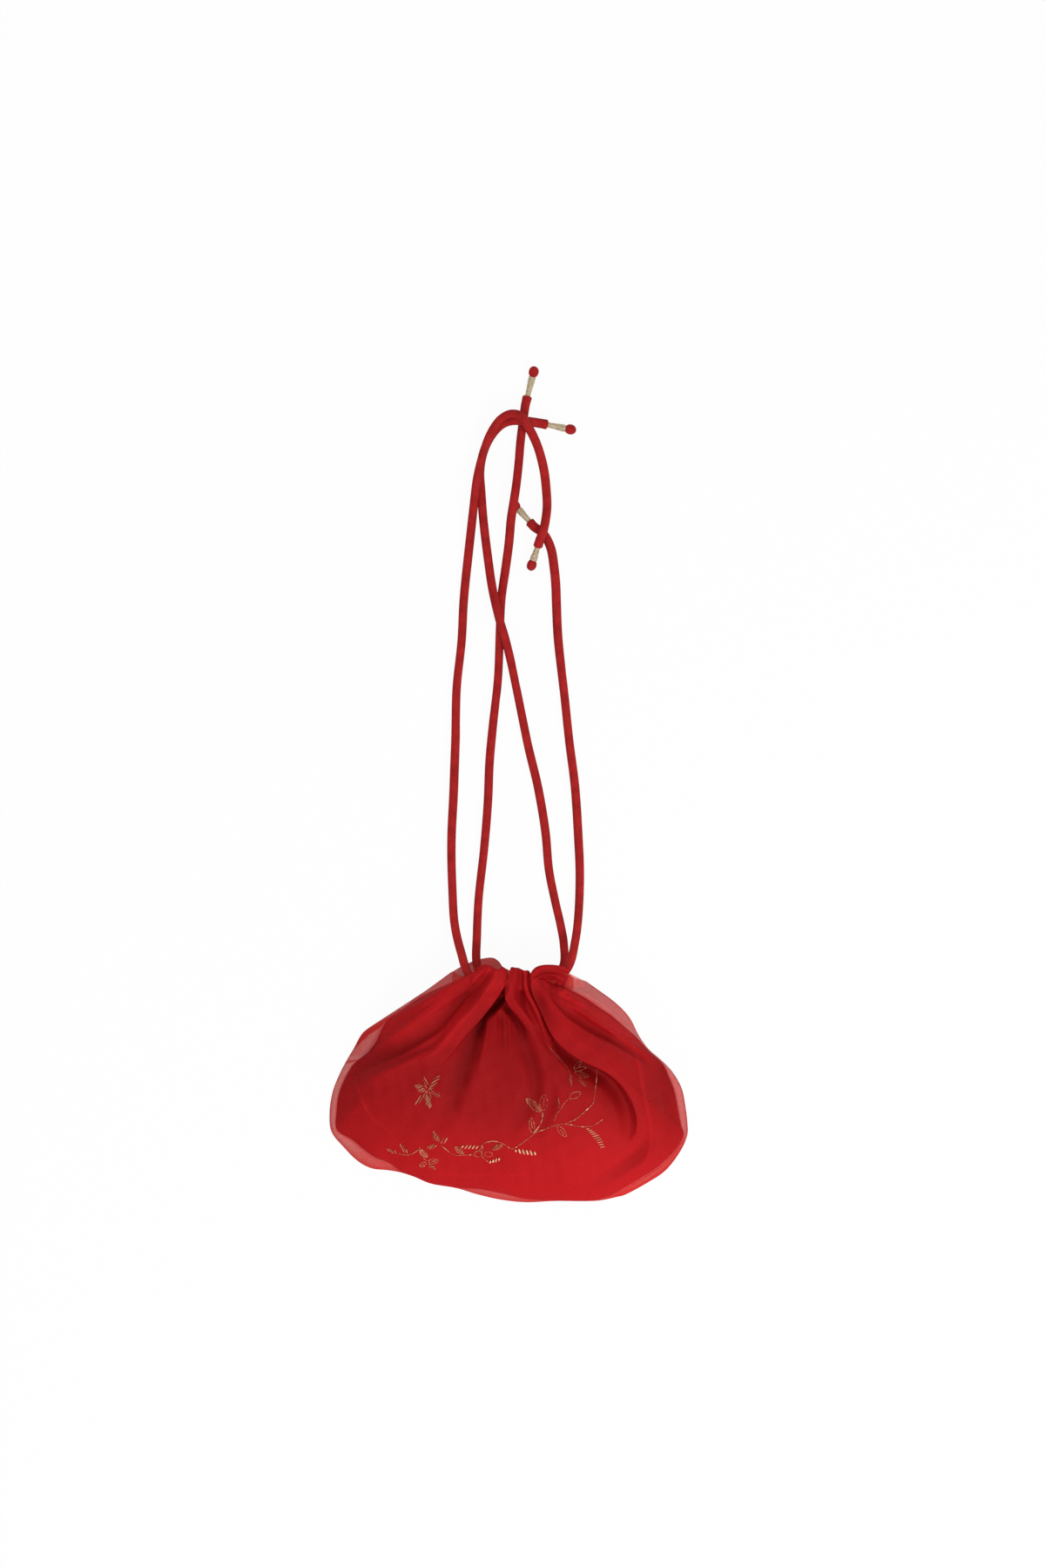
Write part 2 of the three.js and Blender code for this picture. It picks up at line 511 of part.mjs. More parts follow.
function stem(route) {
  const plan = spline(route);
  const steps = Math.max(Math.ceil(plan.getLength() / STEM_STEP), 2);
  const radius = THREAD_DIAMETER / 2;
  const lift = MOTIF_SEAT + radius;
  const points = plan.getSpacedPoints(steps).map((p) => [p.x, p.y, clothTop(p.x, p.y) + lift]);
  const section = new THREE.Shape().absarc(0, 0, radius, 0, 2 * Math.PI);
  const options = { steps, curveSegments: THREAD_SIDES / 2, extrudePath: spline(points) };
  return welded(new THREE.ExtrudeGeometry(section, options));
}

function flowerEye() {
  const radius = FLOWER_EYE_DIAMETER / 2;
  const disc = new THREE.CylinderGeometry(radius, radius, MOTIF_HEIGHT, CORD_SIDES).rotateX(Math.PI / 2);
  const seat = clothTop(...FLOWER_EYE) + MOTIF_SEAT;
  return disc.translate(...FLOWER_EYE, seat + MOTIF_HEIGHT / 2);
}

// Finishes
function finish(color, roughness, metalness) {
  return new THREE.MeshStandardMaterial({ color, roughness, metalness });
}
const organza = () => finish(0xb8303a, 0.55, 0);
const lining = () => finish(0xa31a20, 0.5, 0);
const cordCloth = () => finish(0xa02222, 0.7, 0);
const goldThread = () => finish(0xc0a878, 0.45, 0.6);
const copperWire = () => finish(0xc0704e, 0.4, 0.7);

// The whole pouch
const pouch = new THREE.Group();

function addPart(name, geometry, material) {
  const mesh = new THREE.Mesh(geometry, material);
  mesh.name = name;
  pouch.add(mesh);
}

addPart('organza_front', organzaFront, organza());
addPart('organza_back', withChannel(flatPanel(outerBackOutline, 0), backChannelZ), organza());
const liningEnd = COLUMNS - LINING_SKIP;
addPart('lining_front', sheetSolid(liningFrontFace, LINING_SKIP, liningEnd, LINING_ROWS), lining());
addPart('lining_back', flatPanel(liningBackOutline, liningFloor), lining());

const frontLeft = { leg: FRONT_LEFT_LEG, knob: FRONT_LEFT_KNOB, bound: FRONT_LEFT_BINDING };
const frontRight = { leg: FRONT_RIGHT_LEG, knob: FRONT_RIGHT_KNOB, bound: FRONT_RIGHT_BINDING };
const backLeft = { leg: BACK_LEFT_LEG, knob: BACK_LEFT_KNOB, bound: BACK_LEFT_BINDING };
const backRight = { leg: BACK_RIGHT_LEG, knob: BACK_RIGHT_KNOB, bound: BACK_RIGHT_BINDING };
addPart('front_drawstring', drawstring(frontLeft, frontRight, frontChannelZ), cordCloth());
addPart('back_drawstring', drawstring(backLeft, backRight, backChannelZ), cordCloth());
addPart('front_left_binding', binding(frontLeft), goldThread());
addPart('front_right_binding', binding(frontRight), goldThread());
addPart('back_left_binding', binding(backLeft), goldThread());
addPart('back_right_binding', binding(backRight), goldThread());

for (const [name, base, tip, width] of MOTIFS) addPart(name, motif(base, tip, width), copperWire());
for (const [name, route] of Object.entries(STEMS)) addPart(name, stem(route), copperWire());
addPart('flower_eye', flowerEye(), copperWire());

// The origin stands under the middle of the cloth
const cloth = ['organza_front', 'organza_back'].map((name) => pouch.getObjectByName(name));
const box = cloth.reduce((whole, panel) => whole.expandByObject(panel), new THREE.Box3());
const middle = box.getCenter(new THREE.Vector3());
pouch.position.set(-middle.x, -middle.y, 0);

export default pouch;
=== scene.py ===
"""A red organza potli bag lying on its back, with gathered mouth, drawstrings and wire embroidery.

Shapes are in millimetres until a mesh is made, in metres from then on. +X runs across the bag,
+Y towards the mouth and the cords, +Z up out of the embroidered front.
"""
import logging
import math
from collections.abc import Callable, Sequence
from dataclasses import dataclass, field
from enum import Enum

import bpy
import numpy as np
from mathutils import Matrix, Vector
from mathutils.bvhtree import BVHTree


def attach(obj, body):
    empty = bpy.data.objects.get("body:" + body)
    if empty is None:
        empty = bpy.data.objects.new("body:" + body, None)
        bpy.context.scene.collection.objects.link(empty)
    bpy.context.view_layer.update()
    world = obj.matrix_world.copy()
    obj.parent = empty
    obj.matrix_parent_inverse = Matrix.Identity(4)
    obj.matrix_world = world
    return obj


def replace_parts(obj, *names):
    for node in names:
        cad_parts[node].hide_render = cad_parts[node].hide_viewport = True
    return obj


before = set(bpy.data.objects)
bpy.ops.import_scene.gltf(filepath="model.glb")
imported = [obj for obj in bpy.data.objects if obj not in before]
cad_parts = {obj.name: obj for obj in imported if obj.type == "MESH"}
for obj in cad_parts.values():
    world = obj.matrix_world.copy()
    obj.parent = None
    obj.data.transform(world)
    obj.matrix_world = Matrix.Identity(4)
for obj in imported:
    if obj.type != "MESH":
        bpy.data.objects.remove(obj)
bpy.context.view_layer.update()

LOG = logging.getLogger("potli_bag")
MM = 0.001
BODY = "root"
MIDDLE = 0.5

Point = tuple[float, float, float]
Place = tuple[float, float]
Colour = tuple[float, float, float, float]


def paint(red: int, green: int, blue: int) -> Colour:
    """Turn an everyday 0 to 255 colour into the linear one that shaders use.

    Args:
        red: Red, 0 to 255.
        green: Green, 0 to 255.
        blue: Blue, 0 to 255.

    Returns:
        The linear colour with full opacity.
    """
    shares = [part / 255 for part in (red, green, blue)]
    linear = [s / 12.92 if s <= 0.04045 else ((s + 0.055) / 1.055) ** 2.4 for s in shares]
    return (linear[0], linear[1], linear[2], 1.0)


def eased(share: np.ndarray | float) -> np.ndarray:
    """Ease a share from 0 to 1 with flat ends."""
    t = np.clip(share, 0.0, 1.0)
    return t * t * (3 - 2 * t)


def unit(vectors: np.ndarray) -> np.ndarray:
    """Scale vectors along the last axis to length 1."""
    return vectors / np.maximum(np.linalg.norm(vectors, axis=-1, keepdims=True), 1e-9)


def between(first: np.ndarray, last: np.ndarray | float, share: np.ndarray) -> np.ndarray:
    """Values a share of the way from the first to the last."""
    return first * (1 - share) + last * share


def raised(plan: np.ndarray, height: np.ndarray) -> np.ndarray:
    """Plan points with a height each."""
    return np.concatenate([plan, height[..., None]], axis=-1)


def placed(name: str, data: bpy.types.ID) -> bpy.types.Object:
    """Put a mesh, lamp or camera into the scene as an object.

    Args:
        name: Name of the object.
        data: What it shows.

    Returns:
        The object.
    """
    made = bpy.data.objects.new(name, data)
    bpy.context.scene.collection.objects.link(made)
    return made


@dataclass(frozen=True)
class Ramp:
    """A share that eases from 0 at one value to 1 at another."""

    start: float
    end: float

    def __call__(self, value: np.ndarray | float) -> np.ndarray:
        """The share at a value."""
        return eased((value - self.start) / (self.end - self.start))


@dataclass(frozen=True)
class Bell:
    """A share that is 1 at a middle and dies out to either side of it."""

    middle: float
    reach: float

    def __call__(self, value: np.ndarray | float) -> np.ndarray:
        """The share at a value."""
        return np.exp(-((value - self.middle) / self.reach) ** 2)


class Route:
    """A smooth curve through given points, measured along its length."""

    def __init__(self, points: Sequence[Sequence[float]], per_span: int = 20) -> None:
        """Lay a centripetal spline through the points.

        Args:
            points: Points that the curve passes through, of any dimension.
            per_span: Steps between one point and the next.
        """
        knots = np.asarray(points, dtype=float)
        ends = [2 * knots[0] - knots[1], 2 * knots[-1] - knots[-2]]
        padded = np.vstack([ends[0], knots, ends[1]])
        steps = np.linspace(0, 1, per_span, endpoint=False)[:, None]
        spans = [self._span(padded[i:i + 4], steps) for i in range(len(knots) - 1)]
        self.points = np.vstack([*spans, knots[-1:]])
        hops = np.linalg.norm(np.diff(self.points, axis=0), axis=1)
        self.reach = np.concatenate([[0.0], np.cumsum(hops)])

    @staticmethod
    def _span(four: np.ndarray, steps: np.ndarray) -> np.ndarray:
        """Points between the middle two of four knots.

        Args:
            four: The knots before, at either end of, and after the span.
            steps: Shares along the span, as a column.

        Returns:
            One point for each step.
        """
        before, start, end, after = four
        gaps = [max(np.linalg.norm(b - a) ** 0.5, 1e-4) for a, b in zip(four[:-1], four[1:])]
        into = (start - before) / gaps[0] - (end - before) / (gaps[0] + gaps[1]) + (end - start) / gaps[1]
        out = (end - start) / gaps[1] - (after - start) / (gaps[1] + gaps[2]) + (after - end) / gaps[2]
        into, out = into * gaps[1], out * gaps[1]
        square, cube = steps ** 2, steps ** 3
        return (start + into * steps + (3 * (end - start) - 2 * into - out) * square
                + (2 * (start - end) + into + out) * cube)

    @property
    def length(self) -> float:
        """Length of the curve."""
        return float(self.reach[-1])

    def at(self, share: np.ndarray) -> np.ndarray:
        """Points at shares of the whole length, from 0 to 1."""
        along = np.asarray(share) * self.length
        return np.stack([np.interp(along, self.reach, axis) for axis in self.points.T], axis=-1)

    def spaced(self, step: float) -> np.ndarray:
        """Points about one step apart, from end to end."""
        return self.at(np.linspace(0, 1, max(int(round(self.length / step)), 2) + 1))


class Shade:
    """A shader value that takes part in Python expressions."""

    def __init__(self, board: "Board", socket: bpy.types.NodeSocket) -> None:
        """Wrap an output socket of a board's node."""
        self.board = board
        self.socket = socket

    def __add__(self, other: "Shade | float") -> "Shade":
        """Sum."""
        return self.board.maths("ADD", self, other)

    __radd__ = __add__

    def __sub__(self, other: "Shade | float") -> "Shade":
        """Difference."""
        return self.board.maths("SUBTRACT", self, other)

    def __rsub__(self, other: float) -> "Shade":
        """Difference with a number first."""
        return self.board.maths("SUBTRACT", other, self)

    def __mul__(self, other: "Shade | float") -> "Shade":
        """Product."""
        return self.board.maths("MULTIPLY", self, other)

    __rmul__ = __mul__

    def wave(self, pitch: float) -> "Shade":
        """Sine wave that repeats once in each pitch."""
        return self.board.maths("SINE", self * (2 * math.pi / pitch), 0.0)

    def clamped(self) -> "Shade":
        """The value held between 0 and 1."""
        return self.board.node("ShaderNodeClamp", {}, {0: self})


Feed = Shade | float | tuple[float, ...]


class Board:
    """The node tree of one material."""

    def __init__(self, name: str) -> None:
        """Make an empty material.

        Args:
            name: Name of the material.
        """
        self.material = bpy.data.materials.new(name)
        self.material.use_nodes = True
        self.tree = self.material.node_tree
        self.tree.nodes.clear()

    def node(self, kind: str, settings: dict[str, object], feeds: dict[int | str, Feed],
             output: int | str = 0) -> Shade:
        """Add a node.

        Args:
            kind: Blender's type name of the node.
            settings: Attributes of the node, set before its sockets.
            feeds: A value or a link for each input socket named or numbered.
            output: The output socket to hand back.

        Returns:
            The chosen output.
        """
        made = self.tree.nodes.new(kind)
        for name, value in settings.items():
            setattr(made, name, value)
        for key, feed in feeds.items():
            if isinstance(feed, Shade):
                self.tree.links.new(feed.socket, made.inputs[key])
            else:
                made.inputs[key].default_value = feed
        return Shade(self, made.outputs[output])

    def maths(self, operation: str, first: "Shade | float", second: "Shade | float") -> Shade:
        """Add a Math node."""
        return self.node("ShaderNodeMath", {"operation": operation}, {0: first, 1: second})

    def blend(self, share: Feed, low: Feed, high: Feed) -> Shade:
        """Mix two colours by a share."""
        return self.node("ShaderNodeMix", {"data_type": "RGBA"}, {0: share, 6: low, 7: high}, 2)

    def grain(self, scale: float, detail: float, stretch: Point = (1.0, 1.0, 1.0)) -> Shade:
        """Cloudy noise fixed to the object.

        Args:
            scale: Clouds in a metre.
            detail: Octaves of finer noise.
            stretch: Scale along each axis.

        Returns:
            The noise, about 0.3 to 0.7.
        """
        where = self.node("ShaderNodeTexCoord", {}, {}, "Object")
        scaled = self.node("ShaderNodeMapping", {}, {"Vector": where, "Scale": stretch})
        return self.node("ShaderNodeTexNoise", {}, {"Vector": scaled, "Scale": scale, "Detail": detail})

    def flat(self) -> tuple[Shade, ...]:
        """The cloth's own two flat coordinates, in millimetres."""
        where = self.node("ShaderNodeUVMap", {"uv_map": "flat"}, {})
        return tuple(self.node("ShaderNodeSeparateXYZ", {}, {0: where}, axis) for axis in (0, 1))

    def mark(self, name: str) -> Shade:
        """A number painted on the mesh's points."""
        return self.node("ShaderNodeAttribute", {"attribute_name": name}, {}, "Fac")

    def bump(self, height: Shade, distance: float, strength: float) -> Shade:
        """Normal bent by a height, given as a share of a distance in metres."""
        return self.node("ShaderNodeBump", {}, {"Height": height, "Distance": distance, "Strength": strength})

    def surface(self, feeds: dict[int | str, Feed]) -> bpy.types.Material:
        """Close the tree with a principled surface and hand back the material."""
        self.close(self.node("ShaderNodeBsdfPrincipled", {}, feeds))
        return self.material

    def close(self, shader: Shade) -> None:
        """Link a shader to the material's output."""
        made = self.tree.nodes.new("ShaderNodeOutputMaterial")
        self.tree.links.new(shader.socket, made.inputs["Surface"])


class Slot(Enum):
    """Material slots of the record."""

    ORGANZA = "organza"
    LINING = "lining"
    CORD = "cord_cloth"
    GOLD = "gold_thread"
    COPPER = "copper_wire"


@dataclass(frozen=True)
class Skin:
    """Roughness, its spread, the fine relief's depth in metres and the share of it that shows."""

    roughness: float
    spread: float
    depth: float
    relief: float


@dataclass(frozen=True)
class Finish:
    """What the finishes share: two tones and a skin."""

    shaded: Colour
    bright: Colour
    skin: Skin

    def toned(self, board: Board, tone: Shade) -> Shade:
        """Colour between the two tones."""
        return board.blend(tone.clamped(), self.shaded, self.bright)

    def closed(self, board: Board, colour: Shade, grain: Shade, height: Shade,
               more: dict[str, Feed]) -> bpy.types.Material:
        """Close a node tree with the finish's roughness and relief.

        Args:
            board: The tree.
            colour: Base colour.
            grain: Noise that varies the roughness.
            height: Relief as a share of its depth.
            more: Values and links of further sockets.

        Returns:
            The finished material.
        """
        skin = self.skin
        shared = {"Base Color": colour, "Roughness": skin.roughness + grain * skin.spread,
                  "Normal": board.bump(height, skin.depth, skin.relief)}
        return board.surface(shared | more)


@dataclass(frozen=True)
class OrganzaFinish(Finish):
    """Sheer plain-weave organza: the white floor shows through its two layers at the border."""

    shaded: Colour = paint(105, 2, 4)
    bright: Colour = paint(208, 24, 30)
    skin: Skin = Skin(0.6, 0.2, 0.00005, 0.5)
    backlit: Colour = paint(206, 50, 41)
    pitch: float = 0.8
    cloud_scale: float = 26.0
    clouding: float = 0.38
    slub_scale: float = 900.0
    cover: float = 0.66
    weave_cover: float = 0.05
    slub_cover: float = 0.3
    doubled_cover: float = 0.4
    weave_relief: float = 0.5
    slub_relief: float = 0.7
    specular: float = 0.12

    def material(self) -> bpy.types.Material:
        """Make the finish.

        Returns:
            The material.
        """
        board = Board("organza")
        across, along = board.flat()
        weave = across.wave(self.pitch) * along.wave(self.pitch)
        cloud = board.grain(self.cloud_scale, 4.0) - MIDDLE
        slub = board.grain(self.slub_scale, 2.0)
        doubled = board.mark("dense") * self.doubled_cover
        cover = self.cover + weave * self.weave_cover + (slub - MIDDLE) * self.slub_cover + doubled
        # Colour between the shaded and bright reds by the painted light and shade, clouded a little at
        # random.
        lined = self.toned(board, board.mark("painted_lighting") + cloud * self.clouding)
        # Where the border is sheer, its colour turns to the backlit one: painted light shining through the
        # cloth.
        colour = board.blend(board.mark("sheer"), lined, self.backlit)
        height = weave * self.weave_relief + slub * self.slub_relief
        return self.closed(board, colour, slub, height, {
            "Alpha": cover.clamped(), "Specular IOR Level": self.specular})


@dataclass(frozen=True)
class LiningFinish(Finish):
    """Opaque satin of the inner pouch."""

    shaded: Colour = paint(109, 3, 4)
    bright: Colour = paint(198, 18, 23)
    skin: Skin = Skin(0.48, 0.2, 0.00005, 0.5)
    pitch: float = 0.7
    cloud_scale: float = 34.0
    clouding: float = 0.38
    fine_scale: float = 600.0
    weave_relief: float = 0.5
    specular: float = 0.15

    def material(self) -> bpy.types.Material:
        """Make the finish.

        Returns:
            The material.
        """
        board = Board("lining")
        across, along = board.flat()
        weave = across.wave(self.pitch) * along.wave(self.pitch * 2)
        cloud = board.grain(self.cloud_scale, 4.0) - MIDDLE
        fine = board.grain(self.fine_scale, 2.0)
        # Colour between the shaded and bright reds by the painted light and shade, clouded a little at
        # random.
        colour = self.toned(board, board.mark("painted_lighting") + cloud * self.clouding)
        return self.closed(board, colour, fine, weave * self.weave_relief + fine, {
            "Specular IOR Level": self.specular})


@dataclass(frozen=True)
class CordFinish(Finish):
    """Woven cloth of the rolled cords: a fine slanted weave, creases across and a cloudy tone."""

    shaded: Colour = paint(146, 20, 21)
    bright: Colour = paint(180, 34, 33)
    skin: Skin = Skin(0.66, 0.2, 0.00025, 0.8)
    pitch: float = 0.9
    cloud_scale: float = 160.0
    cloud_gain: float = 1.8
    cloud_offset: float = 0.4
    twill_tone: float = 0.06
    twill_relief: float = 0.35
    crease_scale: float = 700.0
    crease_stretch: Point = (1.0, 0.35, 1.0)
    sheen: float = 0.02
    sheen_roughness: float = 0.45
    specular: float = 0.14

    def material(self) -> bpy.types.Material:
        """Make the finish.

        Returns:
            The material.
        """
        board = Board("cord_cloth")
        around, along = board.flat()
        twill = (around + along).wave(self.pitch) * 0.5 + (around - along).wave(self.pitch) * 0.5
        cloud = board.grain(self.cloud_scale, 4.0)
        crease = board.grain(self.crease_scale, 2.0, self.crease_stretch)
        tone = cloud * self.cloud_gain - self.cloud_offset + twill * self.twill_tone
        return self.closed(board, self.toned(board, tone), crease, twill * self.twill_relief + crease, {
            "Sheen Weight": self.sheen, "Sheen Roughness": self.sheen_roughness,
            "Specular IOR Level": self.specular})


@dataclass(frozen=True)
class GoldThreadFinish(Finish):
    """Pale gilt thread of the bindings, with painted shade between its turns and a painted highlight on each
    turn's crown.
    """

    shaded: Colour = paint(142, 112, 78)
    bright: Colour = paint(236, 224, 192)
    skin: Skin = Skin(0.3, 0.25, 0.00008, 0.7)
    metallic: float = 0.4
    base_tone: float = 0.2
    crown_painted_light: float = 0.7
    streak_tone: float = 1.2
    streak_scale: float = 900.0
    ply_pitch: float = 0.3
    ply_relief: float = 0.5

    def material(self) -> bpy.types.Material:
        """Make the finish.

        Returns:
            The material.
        """
        board = Board("gold_thread")
        _, along = board.flat()
        ply = along.wave(self.ply_pitch)
        streak = board.grain(self.streak_scale, 3.0)
        # Painted highlight on each turn's crown and painted shade between turns, with random streaks.
        tone = board.mark("crown") * self.crown_painted_light + (streak - MIDDLE) * self.streak_tone + self.base_tone
        return self.closed(board, self.toned(board, tone), streak, ply * self.ply_relief + streak, {
            "Metallic": self.metallic})


@dataclass(frozen=True)
class CopperFinish(Finish):
    """Coiled copper wire: each stitch has its own tone, a few get a painted glint, and a painted highlight
    runs along its coils.
    """

    shaded: Colour = paint(172, 68, 46)
    bright: Colour = paint(255, 184, 142)
    skin: Skin = Skin(0.28, 0.25, 0.0001, 0.8)
    painted_glint: Colour = paint(255, 234, 194)
    metallic: float = 0.45
    coil_pitch: float = 0.36
    base_tone: float = 0.06
    stitch_tone: float = 0.7
    worn_tone: float = 0.9
    worn_scale: float = 260.0
    coil_painted_light: float = 0.12
    stitch_painted_glint: Place = (14.0, 12.8)
    painted_gleam_glint: Place = (4.0, 3.4)

    def material(self) -> bpy.types.Material:
        """Make the finish.

        Returns:
            The material.
        """
        board = Board("copper_wire")
        _, along = board.flat()
        coil = along.wave(self.coil_pitch)
        stitch = board.node("ShaderNodeNewGeometry", {}, {}, "Random Per Island")
        worn = board.grain(self.worn_scale, 3.0)
        painted_gleam = board.mark("painted_gleam")
        # Random tone for each stitch and in clouds, with a painted highlight along the coils.
        tone = stitch * self.stitch_tone + (worn - MIDDLE) * self.worn_tone + coil * self.coil_painted_light
        copper = self.toned(board, tone + self.base_tone + painted_gleam)
        # Painted glints: on a few stitches at random, and where the painted gleam is high.
        painted_glints = ((stitch, self.stitch_painted_glint), (painted_gleam, self.painted_gleam_glint))
        lit, painted_pale_glint = ((source * gain - offset).clamped() for source, (gain, offset) in painted_glints)
        colour = board.blend((lit + painted_pale_glint).clamped(), copper, self.painted_glint)
        return self.closed(board, colour, worn, coil, {"Metallic": self.metallic})


@dataclass
class MeshPlan:
    """Points in millimetres, faces and painted numbers of a mesh that is still to be made."""

    points: np.ndarray
    faces: list[tuple[int, ...]]
    flat: np.ndarray
    marks: dict[str, np.ndarray] = field(default_factory=dict)

    @staticmethod
    def grid(points: np.ndarray, flat: np.ndarray, around: bool = False) -> "MeshPlan":
        """A sheet from rows of points.

        Args:
            points: Points as rows, columns, xyz.
            flat: Flat coordinates as rows, columns, two.
            around: Whether the last column joins the first.

        Returns:
            The plan of the sheet.
        """
        rows, columns = points.shape[:2]
        index = np.arange(rows * columns).reshape(rows, columns)
        if around:
            index = np.hstack([index, index[:, :1]])
        corners = [index[:-1, :-1], index[:-1, 1:], index[1:, 1:], index[1:, :-1]]
        faces = np.stack(corners, axis=-1).reshape(-1, 4)
        return MeshPlan(points.reshape(-1, 3), [tuple(f) for f in faces.tolist()], flat.reshape(-1, 2))

    @staticmethod
    def joined(plans: "Sequence[MeshPlan]") -> "MeshPlan":
        """Several plans as one, as separate islands.

        Args:
            plans: The plans, with no marks.

        Returns:
            One plan.
        """
        starts = np.cumsum([0] + [len(p.points) for p in plans])
        faces = [tuple(i + int(s) for i in f) for p, s in zip(plans, starts) for f in p.faces]
        return MeshPlan(np.vstack([p.points for p in plans]), faces, np.vstack([p.flat for p in plans]))

    @staticmethod
    def cloth(sheet: np.ndarray, across: np.ndarray, width: float) -> "MeshPlan":
        """A sheet whose flat coordinates follow its own rows.

        Args:
            sheet: Points as rows, columns, xyz.
            across: Share across the cloth of each column.
            width: Width of the flat cloth.

        Returns:
            The plan of the sheet.
        """
        steps = np.linalg.norm(np.diff(sheet, axis=0), axis=2).mean(axis=1)
        along = np.concatenate([[0.0], np.cumsum(steps)])
        flat = np.stack(np.broadcast_arrays(across[None, :] * width, along[:, None]), axis=-1)
        return MeshPlan.grid(sheet, flat)

    @staticmethod
    def even(sheet: np.ndarray, steps: Place) -> "MeshPlan":
        """A sheet whose columns and rows lie even steps apart when it is flat."""
        row, column = np.indices(sheet.shape[:2])
        return MeshPlan.grid(sheet, np.stack([column * steps[0], row * steps[1]], axis=-1))

    def piece(self, name: str, slot: Slot, material: bpy.types.Material) -> bpy.types.Object:
        """Make the mesh as a piece that rides on the bag.

        Args:
            name: Name of the piece.
            slot: Slot of the record for the piece; not used.
            material: Its finish.

        Returns:
            The object.
        """
        mesh = bpy.data.meshes.new(name)
        mesh.from_pydata((self.points * MM).tolist(), [], self.faces)
        corner = np.zeros(len(mesh.loops), dtype=np.int32)
        mesh.loops.foreach_get("vertex_index", corner)
        layer = mesh.uv_layers.new(name="flat")
        layer.data.foreach_set("uv", self.flat[corner].astype(np.float32).ravel())
        for mark, values in self.marks.items():
            held = mesh.attributes.new(mark, "FLOAT", "POINT")
            held.data.foreach_set("value", values.astype(np.float32).ravel())
        mesh.shade_smooth()
        mesh.materials.append(material)
        made = placed(name, mesh)
        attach(made, BODY)
        LOG.info("%s, %d faces", name, len(self.faces))
        return made


def tube(path: np.ndarray, radii: np.ndarray, sides: int,
         section: Callable[[np.ndarray, np.ndarray], np.ndarray] | None = None) -> MeshPlan:
    """A round skin along a path, closed at both ends.

    Args:
        path: Centreline points in millimetres.
        radii: Radius at each point.
        sides: Corners round the skin.
        section: Share of the radius by distance along and angle round.

    Returns:
        The plan of the skin.
    """
    heading = unit(np.gradient(path, axis=0))
    turn = np.linspace(0, 2 * math.pi, sides, endpoint=False)
    aside = unit(np.cross(heading[0], (0.0, 0.0, 1.0) if abs(heading[0][2]) < 0.9 else (1.0, 0.0, 0.0)))
    along = np.concatenate([[0.0], np.cumsum(np.linalg.norm(np.diff(path, axis=0), axis=1))])
    rings = []
    for i, forward in enumerate(heading):
        aside = unit(aside - forward * np.dot(aside, forward))
        over = np.cross(aside, forward)
        share = np.ones(sides) if section is None else section(np.full(sides, along[i]), turn)
        spoke = np.outer(np.cos(turn), aside) + np.outer(np.sin(turn), over)
        rings.append(path[i] + spoke * (share * radii[i])[:, None])
    flat = np.stack(np.broadcast_arrays(turn[None, :] * np.max(radii), along[:, None]), axis=-1)
    plan = MeshPlan.grid(np.array(rings), flat, around=True)
    last = len(plan.points) - sides
    plan.faces.append(tuple(range(sides - 1, -1, -1)))
    plan.faces.append(tuple(range(last, last + sides)))
    return plan


def rolled(edge: np.ndarray, inside: np.ndarray, radius: np.ndarray | float, rows: int,
           up: int) -> np.ndarray:
    """Cloth rolled over by half a turn along its edge.

    Args:
        edge: Points of the edge.
        inside: Points of the cloth a little inside it.
        radius: Radius of the roll, one for all points or a column of them.
        rows: Rows of the roll.
        up: 1 where the roll turns upwards, -1 where it turns downwards.

    Returns:
        Rows of points, from next to the edge to the end of the half turn.
    """
    outward = raised(unit(edge[:, :2] - inside[:, :2]), np.zeros(len(edge)))
    turn = np.linspace(0, np.pi, rows + 1)[1:, None, None]
    rise = np.array([0.0, 0.0, up]) * radius
    return edge + outward * (radius * np.sin(turn)) + rise * (1 - np.cos(turn))


@dataclass(frozen=True)
class Fold:
    """A ridge or hollow of the cloth: a plan path with its rise, its reach to either side, how far it leans
    over its neighbour, the share of its reach that is flat, and its tone: painted light above zero, painted
    shade below zero."""

    name: str
    path: tuple[Point, ...]
    left: float
    right: float
    lean: float = 0.0
    crown: float = 0.0
    tone: float = 0.0

    def shape(self, plan: np.ndarray) -> tuple[np.ndarray, np.ndarray, np.ndarray]:
        """How the fold moves the cloth at plan points.

        Args:
            plan: Points, two numbers each.

        Returns:
            The rise, the sideways shift where the fold leans over its neighbour, and the painted light and
            shade.
        """
        line = Route(self.path, 5).points
        starts, runs = line[:-1], np.diff(line, axis=0)
        reach = max(self.left, self.right)
        rise, shift, tone = np.zeros(len(plan)), np.zeros((len(plan), 2)), np.zeros(len(plan))
        low, high = line[:, :2].min(axis=0) - reach, line[:, :2].max(axis=0) + reach
        inside = np.all((plan > low) & (plan < high), axis=1)
        if not inside.any():
            return rise, shift, tone
        rel = plan[inside][:, None, :] - starts[None, :, :2]
        flat_runs = runs[None, :, :2]
        share = np.clip((rel * flat_runs).sum(axis=2) / (flat_runs ** 2).sum(axis=2), 0, 1)
        away = np.linalg.norm(rel - share[..., None] * flat_runs, axis=2)
        best = away.argmin(axis=1)
        pick = (np.arange(len(best)), best)
        run, offset = runs[best], rel[pick]
        side = run[:, 0] * offset[:, 1] - run[:, 1] * offset[:, 0]
        out = away[pick] / np.where(side > 0, self.left, self.right)
        swell = 0.5 + 0.5 * np.cos(np.pi * np.clip((out - self.crown) / (1 - self.crown), 0, 1))
        height = starts[best, 2] + share[pick] * run[:, 2]
        rise[inside] = height * swell
        peak = max(abs(step[2]) for step in self.path)
        normal = unit(np.stack([-run[:, 1], run[:, 0]], axis=1))
        shift[inside] = normal * (self.lean * swell * height / peak)[:, None]
        # Painted light (tone above zero) and painted shade (tone below zero) along the fold.
        tone[inside] = self.tone * swell * np.abs(height) / peak
        return rise, shift, tone
